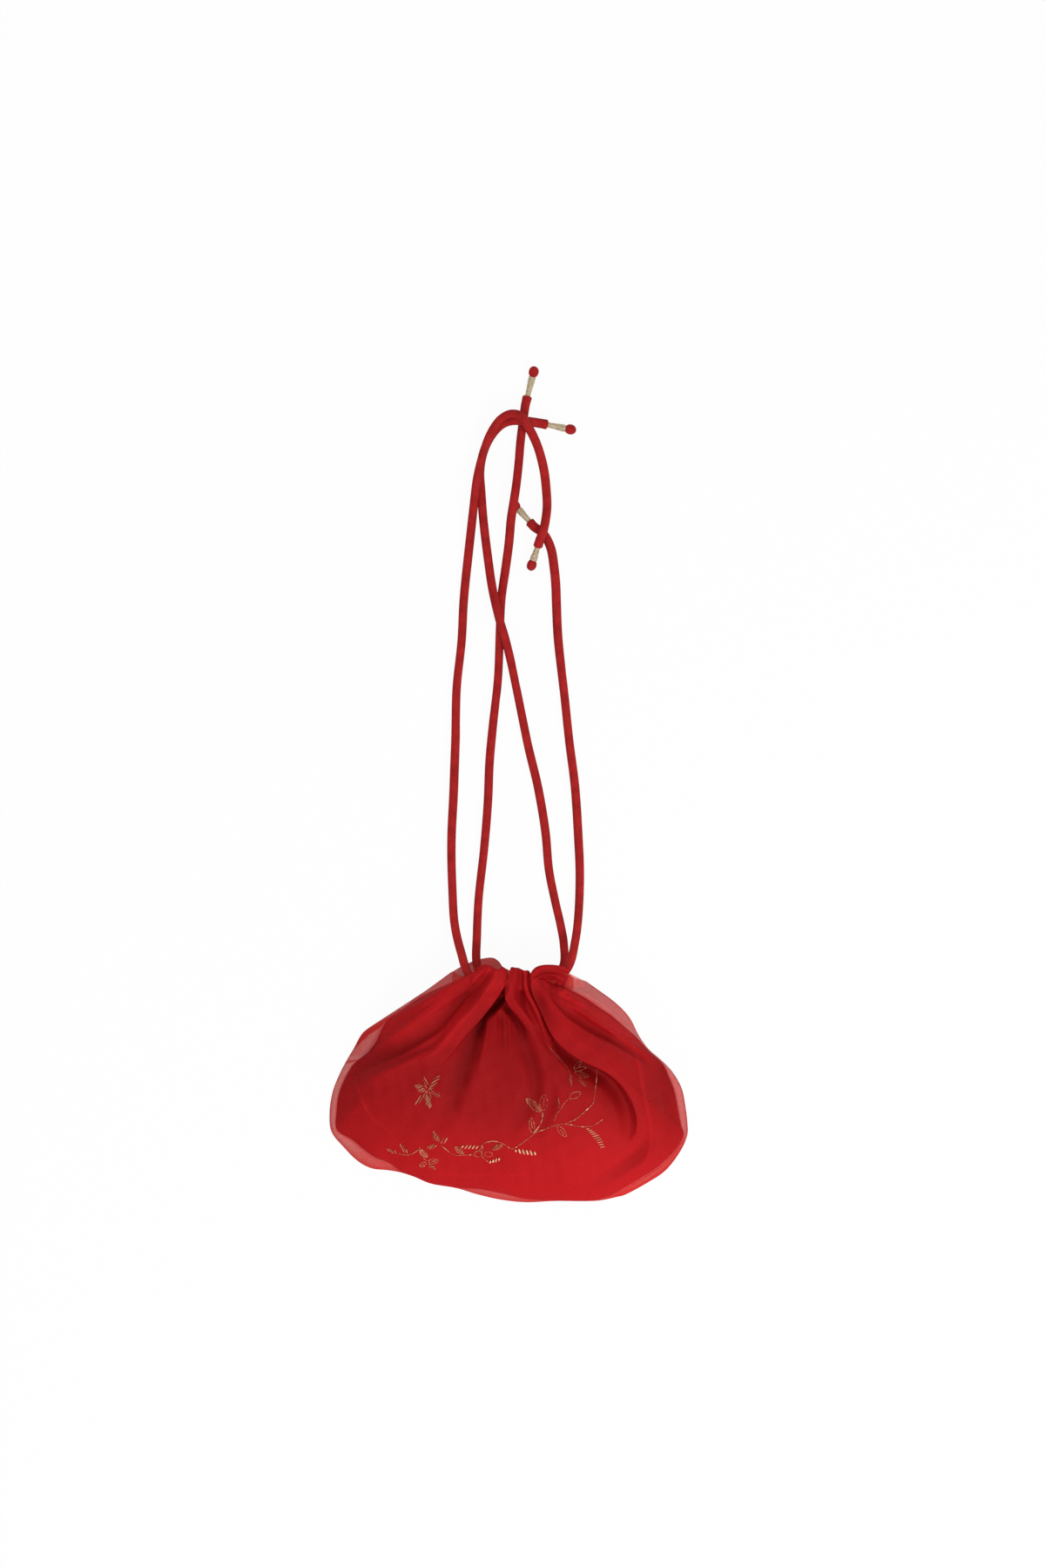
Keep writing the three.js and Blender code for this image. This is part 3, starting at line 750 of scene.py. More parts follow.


# A fold's tone paints light and shade onto the cloth's colour. Folds whose rise is only 0.01 mm change no
# shape and are there only for that.
FRONT_FOLDS = (
    Fold("recess below the mouth", ((-3, 56, -2), (-3, 48, -4.4), (-3, 38, -4.4), (-2, 26, -3.2),
         (0, 12, -1.6), (2, -4, 0)), 17, 20),
    Fold("left pleat", ((-4, 73, 3), (-6, 68, 4.4), (-9.4, 62.5, 6), (-12.8, 58, 7), (-16.2, 53.5, 7.6),
         (-19.8, 49, 7.8), (-23.4, 44.4, 7.4), (-27.2, 40, 6.6), (-30.8, 35.5, 5.6), (-34.2, 31, 4.6),
         (-38, 25.5, 3.4), (-43, 19, 2.2), (-51, 12, 1), (-60, 6, 0)), 7.4, 6, lean=3,
         crown=0.62, tone=0.05),
    Fold("pocket under the left pleat", ((-1.6, 60, -2.5), (-3.6, 55.5, -6.5), (-6.6, 50.5, -7.5),
         (-10.6, 46, -6.5), (-15.4, 41, -3.8), (-18.5, 34.5, -1.8), (-21, 28, 0)), 4.5, 3.6,
         tone=-0.75),
    Fold("left furrow", ((-9, 51, 0), (-13.6, 45, -1.6), (-17.3, 37, -3.4), (-22, 25, -4),
         (-25.7, 12.6, -3.6), (-30.6, 0.5, -3), (-34.2, -11.5, -2), (-38, -22, -0.8), (-42, -32, 0)),
         8, 12, tone=-0.24),
    Fold("deep head of the left furrow", ((-14, 40, 0), (-18, 32, -0.01), (-20.6, 25, -0.01),
         (-23.4, 16, 0)), 4, 5, tone=-0.16),
    Fold("lit flank of the left pleat", ((-20, 55.5, 0), (-24, 50.6, 0.01), (-27.4, 46.4, 0.01),
         (-31, 41.4, 0.01), (-36, 34, 0)), 3.5, 3.5, crown=0.3, tone=0.17),
    Fold("edge of the middle panel", ((-8, 46, 0), (-13, 41.5, 2), (-13.6, 35, 1.8), (-14.4, 27, 1.4),
         (-15.8, 19, 1), (-18, 8, 0.4), (-21, -4, 0)), 3.4, 3),
    Fold("middle pleat", ((2.8, 73, 3), (2.6, 66, 5), (1.8, 59.5, 7.6), (2, 54, 8.4), (4.2, 49, 7.2),
         (7.4, 44.4, 5), (10.6, 40, 3), (14, 36, 1.4), (18, 32, 0)), 5.4, 5.2, lean=-1.8,
         crown=0.4),
    Fold("middle hollow", ((-3, 51, -2), (-0.4, 46.6, -5), (3.6, 42, -4.4), (7, 36, -3), (9.2, 30, -1.2),
         (9.6, 25, 0)), 3.4, 4, tone=-0.2),
    Fold("furrow of the middle panel", ((3.3, 43, 0), (6, 35, -2.4), (9.4, 27, -3.4), (13, 17, -3.6),
         (16.4, 6, -3.2), (16.4, -6, -2.6), (11, -17, -2.2), (3, -27, -1.4), (-3, -35, 0)), 8,
         9, tone=-0.18),
    Fold("furrow by the leaf pair", ((25, 6, 0), (27.5, -5, -1.2), (25.5, -17, -1.8), (20, -28, -1.4),
         (14, -36, 0)), 6, 6, tone=-0.1),
    Fold("panel furrow", ((-6, 46, 0), (-5.5, 40, -1.6), (-5, 32, -1.4), (-5, 22, -0.6), (-5, 14, 0)),
         2.6, 2.6),
    Fold("panel crest", ((-1, 45, 0), (0.6, 36, 1.2), (1, 26, 0.8), (1, 16, 0)), 2.5, 2.5),
    Fold("narrow pleat", ((10.4, 69, 2.4), (10.2, 61.5, 3.6), (12.2, 54.6, 4.6), (15.4, 48.6, 4.8),
         (18.4, 42.8, 4.4), (20.8, 37, 3.8), (23.2, 31.5, 3), (26.4, 25, 2), (31, 16, 1), (36, 6, 0)),
         3, 3, lean=0.4, crown=0.2, tone=0.18),
    Fold("furrow by the narrow pleat", ((8.2, 67, -2), (8, 58, -2.4), (9, 51.5, -2), (11.2, 46, -1.6),
         (14.6, 40.3, -1), (17, 36, 0)), 1.4, 1.4),
    Fold("hollow under the big fold", ((13.2, 66, -1.6), (13, 60.5, -1.4), (15.6, 54, -1.4),
         (19.4, 47.4, -1.8), (22.6, 40.5, -2.8), (25.2, 34, -4.2), (29.3, 27.3, -5.6), (35, 21.3, -6.4),
         (41, 16, -6.8), (48, 11.5, -7), (56, 7.5, -6.8), (63.5, 2.5, -6.4), (69.5, -4.5, -5.8),
         (74, -13, -5), (76.6, -22, -3.8), (76, -31, -2.2), (72, -40, 0)), 3, 10, tone=-0.06),
    Fold("shade under the big fold", ((27, 27, 0), (36, 17, -1.4), (46, 9, -2.2), (56, 3, -2.2),
         (64, -5, -2), (68.5, -15, -1.6), (70, -25, -1), (67, -34, 0)), 9, 16, tone=-0.2),
    Fold("big right fold", ((17.5, 67, 2.6), (17.5, 60.5, 3.4), (20.2, 53.5, 4.4), (24, 46.5, 5.4),
         (27.4, 40, 6.4), (30.8, 34.2, 7.4), (35.4, 28.8, 8), (41, 24, 8.4), (47.5, 19.6, 8.4),
         (55, 16, 8.2), (63, 12, 7.8), (70.5, 6.2, 7.2), (77, -2, 6.4), (81.8, -12, 5.4), (84, -22, 4.2),
         (83, -32, 2.4), (78, -41, 0)), 17, 4.6, lean=-3.6, crown=0.4),
    Fold("shade of the big fold", ((16.5, 60, -0.8), (20, 52.5, -1.8), (24.5, 45, -1.6), (30, 37, 0)),
         6, 3.4, tone=-0.28),
    Fold("right crease", ((27.5, 59, -1.6), (29.8, 53.5, -2.4), (34, 48.5, -2.8), (38.5, 43.4, -3),
         (46.5, 37, -3), (55, 31.5, -3.4), (66, 26, -3.4), (80, 17, -2.6), (90, 8, 0)), 7.5,
         1.4, tone=-0.34),
    Fold("right ridge", ((32, 59, 1.4), (36.5, 53.5, 2.4), (43, 48.5, 2.6), (51.5, 43.5, 2.6),
         (61, 37, 2.6), (72, 28.5, 2.4), (84, 16.5, 1.6), (94, 3, 0)), 8, 6, crown=0.3,
         tone=0.1),
    Fold("lit right shoulder", ((37, 56, 0.01), (46, 50.4, 0.01), (56, 43, 0.01), (66, 35.4, 0.01),
         (77, 26, 0.01), (87, 17, 0.01), (95, 7, 0)), 6, 5, crown=0.4, tone=0.2),
    Fold("mouth bunch", ((16.5, 67.5, 1.6), (19.5, 70.4, 3), (25, 70.8, 4), (30.5, 69, 4.4), (34, 65, 4.2),
         (34.4, 59.5, 2.4)), 4.6, 5.4, crown=0.35, tone=-0.12),
    Fold("upper crease of the bunch", ((16.6, 65.8, -1), (23.9, 68.5, -1.8), (29, 68.6, -1.8),
         (33, 67.2, -1.6), (36.5, 64.3, -0.8)), 1.1, 1.1),
    Fold("lower crease of the bunch", ((20.8, 65.3, -0.8), (26, 65.4, -1.6), (30.5, 64, -1.6),
         (35.5, 60.6, -0.8)), 1.1, 1.1),
    Fold("left bunch", ((-22, 64, 2), (-17.5, 68.5, 3.2), (-12.5, 71, 3), (-9, 71, 1.5)), 4, 4),
    Fold("crease of the left bunch", ((-14, 72, -0.8), (-16.5, 67, -1.6), (-21, 61.5, -1.2), (-27, 57, 0)),
         1.2, 1.2),
    Fold("left hollow", ((-17.6, 64.6, 0), (-22.6, 59, -1.4), (-28.2, 52.6, -2.4), (-33.8, 45.7, -3),
         (-39.3, 39.2, -3.4), (-45.1, 33.4, -3.6), (-57.4, 25.6, -3.6), (-69.3, 18.8, -3.4),
         (-81.4, 12.8, -2.8), (-93.5, 6.4, -1.5), (-101, 1, 0)), 3.6, 11, tone=-0.25),
    Fold("left shoulder", ((-24, 63, 1.4), (-34, 56.5, 1.8), (-46, 49, 1.8), (-58, 41.5, 1.6),
         (-70, 34, 1.4), (-84, 23, 0)), 6, 9, crown=0.3, tone=0.06),
    Fold("tail of the left pleat", ((-42, 24, 0), (-50, 19, 2.6), (-62, 13, 3.2), (-76, 7, 2.8),
         (-90, 1, 1.4), (-100, -6, 0)), 9, 4.5),
    Fold("right lower crease", ((91, -35, -1), (87, -42, -3), (80, -49, -3.8), (69, -57, -2.8),
         (56, -64, -1.4), (45, -69, 0)), 7, 7, tone=-0.32),
    Fold("right end crease", ((97, -2, 0), (101, -14, -1.5), (103, -28, -2), (102, -40, -1.4),
         (97, -49, 0)), 8, 7, tone=-0.06),
)

VEIL_FOLDS = (
    Fold("right veil crease", ((76, 27, 0), (82, 13.5, 1), (85.6, 1, 1.3), (88, -11, 1.4),
         (90.4, -34.6, 1.4), (87, -48, 1.1), (82, -59.4, 0)), 1.8, 1.4),
    Fold("left veil crease", ((-98, 7.5, 0.4), (-93.5, -8, 1.2), (-88, -20, 1.2), (-74.3, -32, 0.4)),
         1.4, 1.4),
    Fold("trailing edge of the left pleat", ((-24, 54, 0.1), (-31, 45, 0.5), (-37, 37.6, 0.8),
         (-41, 29, 0.9), (-47, 22.4, 0.9), (-56.5, 17.2, 0.8), (-70, 11, 0.6), (-84, 3.6, 0.4),
         (-94, -4, 0.1)), 5, 1.5),
    Fold("bottom veil crease", ((-60, -56, 0), (-40, -58.6, 0.7), (-15, -59.4, 0.8), (10, -58, 0.5),
         (25, -56, 0)), 1.4, 1.4),
)


@dataclass(frozen=True)
class PouchForm:
    """Sizes of the pouch in millimetres and the fan of cloth between its mouth and its sewn edge."""

    half_width: float = 113.0
    half_length: float = 77.0
    belly: float = 11.0
    hem_floor: float = 22.5
    seam_top: float = 3.9
    shoulder_rise: float = 11.0
    sewn_floor: float = 1.1
    channel_y: float = 62.5
    channel_left: float = -11.0
    channel_length: float = 34.0
    front_channel_z: float = 18.8
    back_channel_z: float = 4.7
    lining_start: float = 0.11
    flat_width: float = 460.0
    outline: tuple[Point, ...] = (
        (-0.318, 0.89, 7), (-0.45, 0.748, 1.9), (-0.59, 0.6, 0.9), (-0.7, 0.505, 2.6), (-0.745, 0.465, 6),
        (-0.815, 0.388, 10), (-0.867, 0.256, 8.4), (-0.9, 0.175, 5.2), (-0.94, 0.065, 4.4),
        (-0.982, -0.09, 4.2), (-1, -0.26, 4.4), (-0.99, -0.42, 3.8), (-0.92, -0.55, 7.2),
        (-0.84, -0.665, 8.2), (-0.765, -0.722, 7.4), (-0.67, -0.738, 4.6), (-0.6, -0.757, 0.8),
        (-0.53, -0.79, 0.7), (-0.44, -0.845, 0.6), (-0.29, -0.885, 0.7), (-0.175, -0.935, 3.6),
        (-0.05, -0.977, 4.2), (0.09, -1, 2.4), (0.26, -0.99, 0.7), (0.5, -0.987, 1), (0.61, -0.955, 3),
        (0.64, -0.945, 4), (0.77, -0.845, 5), (0.88, -0.735, 5), (0.97, -0.555, 3), (1, -0.44, 2.6),
        (1, -0.36, 4.2), (0.99, -0.23, 5), (0.967, -0.065, 5), (0.92, 0.06, 3.6), (0.865, 0.15, 1),
        (0.78, 0.26, 0.7), (0.725, 0.375, 2), (0.68, 0.505, 6.4), (0.61, 0.62, 8), (0.435, 0.81, 8))
    lining_left: tuple[Place, ...] = ((-25.2, 65), (-30, 62.8), (-36, 60.6), (-44.2, 57.6))
    lining_right: tuple[Place, ...] = (
        (57.5, 45.6), (50.5, 50.6), (40.2, 56.3), (34.6, 58.4), (36.4, 63), (37.8, 68.2))
    bunch_from: float = 0.94
    bunch_hem: float = 0.711
    bunch_lining: float = 0.978
    bunch_outer: float = 0.99
    front_hem: tuple[Place, ...] = (
        (-24.5, 65.5), (-19.8, 70.5), (-16.5, 73.2), (-13, 75.2), (-9.5, 74.2), (-7.4, 73), (-4.4, 74.6),
        (-1.7, 74.2), (-0.8, 70.5), (0.8, 74), (5, 73.6), (8, 72), (9.9, 72.4), (11.6, 70.4), (12.8, 64),
        (14.2, 66.4), (16.8, 69.2), (19.8, 71.7), (25, 72.8), (31.4, 72.2), (36, 70.5), (38, 68.8))
    back_hem: tuple[Place, ...] = (
        (-35.6, 68.4), (-30, 71.6), (-24, 74.2), (-17, 76), (-10.4, 76.2), (-6.6, 73.8), (-4, 70.5),
        (2, 67.5), (12, 63), (24, 66.5), (36, 67.5), (41, 64.5))

    def fan(self, across: np.ndarray) -> tuple[np.ndarray, np.ndarray, np.ndarray]:
        """Where the cloth's columns start and end. The bunch at the right is a small fan of its own.

        Args:
            across: Shares across the cloth, from the left shoulder to the right one.

        Returns:
            Plan points on the front hem, on the lining's edge and on the sewn edge.
        """
        knots = (0.0, self.bunch_from, 1.0)
        ends = (self.bunch_hem, self.bunch_lining, self.bunch_outer)
        routes = (Route(self.front_hem), self.lining_edge(), self.outer_edge())
        hem, lining, outer = (r.at(np.interp(across, knots, (0.0, e, 1.0))) for r, e in zip(routes, ends))
        return hem, lining, outer

    def outer_edge(self) -> Route:
        """The sewn edge of the organza, from the left shoulder round the bottom to the right one."""
        return Route(self._corners())

    def lining_edge(self) -> Route:
        """The sewn edge of the lining, inside the sheer border.

        Returns:
            The edge, in the same order as the outer one.
        """
        corners = self._corners()
        before = np.vstack([corners[:1], corners[:-1]])
        after = np.vstack([corners[1:], corners[-1:]])
        along = unit(after - before)
        inward = np.stack([-along[:, 1], along[:, 0]], axis=1)
        inner = corners + inward * np.array(self.outline)[:, 2:]
        return Route(np.vstack([self.lining_left, inner[1:-1], self.lining_right]))

    def _corners(self) -> np.ndarray:
        """Corners of the sewn edge in millimetres."""
        return np.array(self.outline)[:, :2] * (self.half_width, self.half_length)


@dataclass(frozen=True)
class FrontPaintedLighting:
    """Painted light and shade on the front: darker at the mouth, at the ends and in hollows, lighter towards
    the bottom, to the right, on the shoulders and on crests.
    """

    middle: float = 0.32
    bottom: float = 0.52
    bottom_along: Ramp = Ramp(2, -70)
    end_left: float = 0.06
    end_right: float = 0.12
    end_across: Ramp = Ramp(75, 100)
    mouth: float = 0.2
    mouth_across: Bell = Bell(2, 11)
    mouth_along: Ramp = Ramp(46, 58)
    right: float = 0.1
    right_across: Ramp = Ramp(15, 55)
    shoulder_left: float = 0.26
    shoulder_right: float = 0.2
    shoulder_across: Ramp = Ramp(20, 40)
    shoulder_along: Ramp = Ramp(16, 32)
    # Painted light on crests and painted shade in hollows, for each millimetre of rise.
    crest: float = 0.01
    hollow: float = 0.025
    lowest: float = 0.25

    def share(self, plan: np.ndarray, rise: np.ndarray, change: np.ndarray) -> np.ndarray:
        """Share of the bright tone, which paints the light and shade.

        Args:
            plan: Plan points, rows by columns.
            rise: Rise of the folds there.
            change: Painted light and shade that the folds bring.

        Returns:
            The share at each point.
        """
        across, along = plan[..., 0], plan[..., 1]
        left, out = across < 0, np.abs(across)
        ends = np.where(left, self.end_left, self.end_right) * self.end_across(out)
        mouth = self.mouth * self.mouth_across(across) * self.mouth_along(along)
        clear = self.bottom * self.bottom_along(along) + self.right * self.right_across(across)
        side = np.where(left, self.shoulder_left, self.shoulder_right)
        shoulder = side * self.shoulder_across(out) * self.shoulder_along(along)
        folds = change + rise * np.where(rise > 0, self.crest, self.hollow)
        # Painted light towards the bottom, to the right, on the shoulders and on crests; painted shade at the
        # ends, at the mouth and in hollows.
        total = self.middle + clear - ends - mouth + shoulder + folds
        return np.clip(self.lowest + (1 - self.lowest) * total, 0, 1)


@dataclass(frozen=True)
class BorderCover:
    """Where the sheer border lies double: along the lining's seam, in the turned strip of the left shoulder,
    where a crease crosses below it, where the hem is pinched, and in streaks at the bottom right."""

    seam: float = 0.9
    seam_end: Ramp = Ramp(0, 0.25)
    strip: float = 0.95
    strip_heights: tuple[float, ...] = (14, 17, 20, 24, 27, 34, 36.5, 40)
    strip_widths: tuple[float, ...] = (-1, 0.3, 1, 2.6, 3.8, 3.9, 3.4, 3.2)
    strip_edge: Ramp = Ramp(-0.4, 0.4)
    strip_top: Ramp = Ramp(56, 50)
    narrow_from: Ramp = Ramp(36, 39)
    narrow_to: Ramp = Ramp(57, 52)
    crossing: float = 0.8
    crossing_at: Bell = Bell(11.6, 1.2)
    top: float = 0.3
    top_more: float = 0.12
    top_more_from: Ramp = Ramp(52, 60)
    top_from: Ramp = Ramp(13, 17)
    bottom: float = 0.42
    bottom_from: Ramp = Ramp(-40, -55)
    streak: float = 0.75
    streak_across: Ramp = Ramp(45, 57)
    streak_along: Ramp = Ramp(-36, -44)
    gap: float = 0.5
    gap_at: Bell = Bell(0.45, 0.1)
    gap_along: Ramp = Ramp(-74, -68)
    crease: float = 0.3
    creases: tuple[Bell, ...] = (Bell(0.5, 0.05), Bell(0.8, 0.04))
    crease_along: Ramp = Ramp(25, 31)
    pinch_from: Ramp = Ramp(-72, -66)
    pinch_to: Ramp = Ramp(-28, -36)

    def share(self, rows: np.ndarray, seam: np.ndarray, outer: np.ndarray) -> np.ndarray:
        """Share of cover that the doubled cloth adds.

        Args:
            rows: Share of the border's width of each row, as a column.
            seam: Plan points on the lining's seam.
            outer: Plan points on the sewn edge.

        Returns:
            The share, rows by columns.
        """
        across, along = outer[:, 0], outer[:, 1]
        left, right, low = across < 0, across > 0, along < 0
        places = between(seam[None], outer[None], rows[..., None])
        inward = np.linalg.norm(places[:, :, None] - outer[None, None, ::2], axis=3).min(axis=2)
        width = np.interp(places[..., 1], self.strip_heights, self.strip_widths)
        strip = self.strip * self.strip_edge(width - inward) * self.strip_top(along) * left
        narrow = self.narrow_from(along) * self.narrow_to(along) * left
        crossing = self.crossing * self.crossing_at(along) * left
        top = (self.top + self.top_more * self.top_more_from(along)) * self.top_from(along) * left
        bottom = self.bottom * self.bottom_from(along)
        gap = self.gap * self.gap_at(rows) * self.gap_along(along)
        streaks = self.streak_across(across) * self.streak_along(along) * (self.streak - gap)
        lines = sum(bell(rows) for bell in self.creases)
        creased = self.crease * self.crease_along(along) * right * lines
        pinched = self.pinch_from(across) * self.pinch_to(across) * low
        seamed = self.seam * (1 - self.seam_end(rows))
        layers = np.broadcast_arrays(strip, narrow, crossing, top, bottom, streaks, creased, pinched, seamed)
        return np.max(np.stack(layers), axis=0)


@dataclass
class FrontPanels:
    """The gathered front: sheer organza over the opaque lining, with a turned hem round its drawstring."""

    form: PouchForm
    tones: FrontPaintedLighting = FrontPaintedLighting()
    layers: BorderCover = BorderCover()
    columns: int = 420
    rows: int = 150
    first_row: float = 0.024
    row_bias: float = 1.08
    border_shares: tuple[float, ...] = (0.08, 0.16, 0.26, 0.38, 0.46, 0.54, 0.64, 0.74, 0.84, 0.92, 0.96, 1.0)
    border_round: float = 1.8
    puckers: tuple[Place, ...] = ((91, 0), (47, 1.3))
    pucker_rise: float = 0.35
    ray_smoothing: int = 15
    full_smoothing: int = 45
    full_heading: Place = (0.92, 0.4)
    full_gain: float = 0.6
    full_ray: Ramp = Ramp(25, 95)
    slack: float = 1.15
    flatness: float = 0.25
    drop_power: float = 1.6
    drop_more: float = 0.8
    drop_plump: float = 0.4
    belly_power: float = 1.1
    belly_flat: float = 0.92
    shoulder_share: Ramp = Ramp(0, 0.24)
    fold_fade: float = 9.0
    fade_shares: Place = (0.12, 0.32)
    bunch_ease: float = 0.04
    hem_near: Ramp = Ramp(52.2, 58.2)
    hem_rows: Ramp = Ramp(0.5, 0.2)
    hem_slack: float = 0.6
    gathers: int = 21
    gather_rise: float = 0.25
    gather_wander: float = 0.012
    gather_turns: float = 17.0
    gather_fade: float = 0.13
    wrinkles: int = 9
    wrinkle_rise: float = 0.08
    wrinkle_pitch: Place = (7, 19)
    wrinkle_phase: float = 6.0
    seed: int = 11
    veil_end: Ramp = Ramp(0.9, 1.0)
    veil_painted_light: float = 0.195
    hem_cover: Ramp = Ramp(0.06, 0.2)
    doubled_shade: float = 0.8
    edge_rows: int = 2
    edge_cover: float = 0.7
    edge_sheer: float = 0.2
    roll_rows: int = 7
    roll_radius: float = 1.9
    roll_inset: int = 4
    notches: tuple[float, ...] = (-0.8, 12.8)
    notch_half: float = 2.2
    notch_depth: float = 0.8
    facing_rows: int = 12
    facing_depth: float = 17.0
    facing_ends: float = 9.0
    facing_z: float = 14.6
    facing_sink: Ramp = Ramp(0, 0.45)
    facing_lift: Ramp = Ramp(0.7, 1.0)
    facing_rise: float = 5.0
    cloth_mid: float = 0.4
    lining_rows_in: int = 2
    lining_columns_in: int = 4
    lining_gap: float = 1.0
    seam_gap: float = 0.25
    lining_close: Ramp = Ramp(0.7, 1.0)
    lining_steps: Place = (1.1, 0.95)

    def __post_init__(self) -> None:
        """Work out the cloth's surface once for all layers."""
        self.across = np.linspace(0, 1, self.columns + 1)
        steps = np.linspace(0, 1, self.rows + 1) ** self.row_bias
        self.inner_rows = self.first_row + (1 - self.first_row) * steps
        hem, lining, self.outer = self.form.fan(self.across)
        rows = self.inner_rows[:, None, None]
        plan = between(hem[None], lining[None], rows)
        rise, shift, change = self._folded(plan, FRONT_FOLDS)
        ray = self._smoothed(np.linalg.norm(lining - hem, axis=1), self.ray_smoothing)
        fade = self._fade(ray)
        small = self._gathers(self.inner_rows[:, None]) + self._wrinkles(plan)
        height = self._height(ray, self._smoothed(self._fullness(lining), self.full_smoothing))
        height = np.maximum(height + (rise + small) * fade, self._floor(plan)) + self.cloth_mid
        self.base = raised(plan + shift * fade[..., None], height)
        # Painted light and shade of the cloth's colour, from its folds and its place on the front.
        self.painted_lighting = self.tones.share(plan, rise * fade, change)
        self.veil = self._folded(plan, VEIL_FOLDS)[0] * (1 - self.veil_end(self.inner_rows[:, None]))

    @staticmethod
    def _folded(plan: np.ndarray, folds: Sequence[Fold]) -> tuple[np.ndarray, np.ndarray, np.ndarray]:
        """What folds together do to the cloth.

        Args:
            plan: Plan points, rows by columns.
            folds: The folds.

        Returns:
            The rise, the sideways shift and the painted light and shade at each point.
        """
        rise, shift, change = np.zeros(plan.shape[:2]), np.zeros(plan.shape), np.zeros(plan.shape[:2])
        for fold in folds:
            for total, part in zip((rise, shift, change), fold.shape(plan.reshape(-1, 2))):
                total += part.reshape(total.shape)
        return rise, shift, change

    @staticmethod
    def _smoothed(values: np.ndarray, reach: int) -> np.ndarray:
        """Values along the columns, averaged over their neighbours.

        Args:
            values: One value for each column.
            reach: Neighbours to either side.

        Returns:
            As many values.
        """
        window = np.hanning(2 * reach + 3)[1:-1]
        padded = np.pad(values, reach, mode="edge")
        return np.convolve(padded, window / window.sum(), mode="valid")

    def _fullness(self, edge: np.ndarray) -> np.ndarray:
        """How far each place of an edge faces the bottom right, where the cloth is full, as a share."""
        along = unit(np.gradient(edge, axis=0))
        return eased(0.5 + self.full_gain * (along @ np.array(self.full_heading)))

    def _fade(self, ray: np.ndarray) -> np.ndarray:
        """How far the folds show, down to nothing at the lining's seam.

        Args:
            ray: Length of each column.

        Returns:
            The share, rows by columns.
        """
        start = self.form.bunch_from
        bunch = Ramp(start - self.bunch_ease, start)(self.across)
        least, most = self.fade_shares
        last = np.clip(self.fold_fade / ray, least, most) * (1 - bunch) + least * bunch
        return 1 - eased((self.inner_rows[:, None] - 1 + last) / last)

    def _height(self, ray: np.ndarray, plump: np.ndarray) -> np.ndarray:
        """Height of the front without its folds.

        Args:
            ray: Length of each column.
            plump: How far each column ends in a full edge, not a flat one.

        Returns:
            The height at each point.
        """
        form, row = self.form, self.inner_rows[:, None]
        full = self.full_ray(ray)
        taut = (1 - row) ** self.slack
        steep, blunt = self.drop_power + self.drop_more * full, 1 - self.drop_plump * full * plump
        round_drop = (1 - row ** steep) ** blunt
        drop = round_drop + (taut - round_drop) * self.flatness * (1 - plump)
        past = np.maximum(row - form.lining_start, 0) / (1 - form.lining_start)
        sag = np.sin(np.pi * past) ** self.belly_power * (self.belly_flat + (1 - self.belly_flat) * plump)
        from_end = np.minimum(self.across, 1 - self.across)
        seam_top = form.seam_top + form.shoulder_rise * (1 - self.shoulder_share(from_end))
        return seam_top + (form.hem_floor - seam_top) * drop + form.belly * (ray / ray.max()) * sag

    def _floor(self, plan: np.ndarray) -> np.ndarray:
        """Lowest height of the front, which the cord in the hem holds up at the mouth."""
        near = self.hem_near(plan[..., 1]) * self.hem_rows(self.inner_rows[:, None])
        return self.form.seam_top + (self.form.hem_floor - self.hem_slack - self.form.seam_top) * near

    def _gathers(self, row: np.ndarray) -> np.ndarray:
        """Small gathers that die out below the channel."""
        wander = self.across + self.gather_wander * np.sin(self.across * self.gather_turns)
        return self.gather_rise * np.sin(2 * np.pi * self.gathers * wander) * np.exp(-row / self.gather_fade)

    def _wrinkles(self, plan: np.ndarray) -> np.ndarray:
        """Faint crumple of handled cloth.

        Args:
            plan: Plan points, rows by columns.

        Returns:
            Rise at each point.
        """
        draw = np.random.default_rng(self.seed)
        total = np.zeros(plan.shape[:2])
        for _ in range(self.wrinkles):
            heading = draw.uniform(0, np.pi)
            pitch = draw.uniform(*self.wrinkle_pitch)
            phase = draw.uniform(0, self.wrinkle_phase)
            along = plan[..., 0] * np.cos(heading) + plan[..., 1] * np.sin(heading)
            total += np.sin(2 * np.pi * along / pitch + phase)
        return self.wrinkle_rise * total

    def organza(self) -> MeshPlan:
        """Plan of the organza: facing inside the mouth, rolled hem, front and sheer border.

        Returns:
            The plan, with its cover, its sheerness and its painted light and shade marked.
        """
        front = self.base.copy()
        front[..., 2] += self.veil
        sheet = np.concatenate([self._turned_hem(front), front, self._border(front[-1])])
        plan = MeshPlan.cloth(sheet, self.across, self.form.flat_width)
        turned, border = self.roll_rows + self.facing_rows, len(self.border_shares)
        doubled = self.layers.share(np.array(self.border_shares)[:, None], self.base[-1, :, :2], self.outer)
        single = 1 - np.minimum(doubled, 1)
        dense, sheer = np.zeros(sheet.shape[:2]), np.zeros(sheet.shape[:2])
        dense[:turned] = 1.0
        dense[turned:-border] = 1 - self.hem_cover(self.inner_rows[:, None])
        dense[-border:] = doubled
        sheer[-border:] = 1 - self.doubled_shade * (1 - single)
        edge = slice(-self.edge_rows, None)
        dense[edge] = np.maximum(self.edge_cover, doubled[edge])
        sheer[edge] = self.edge_sheer * single[edge]
        # The veil's creases get painted light.
        front_painted_lighting = np.clip(self.painted_lighting + self.veil_painted_light * self.veil, 0, 1)
        painted_lighting = np.concatenate([np.repeat(self.painted_lighting[:1], turned, axis=0), front_painted_lighting,
                               np.repeat(self.painted_lighting[-1:], border, axis=0)])
        plan.marks |= {"dense": dense, "sheer": sheer, "painted_lighting": painted_lighting}
        return plan

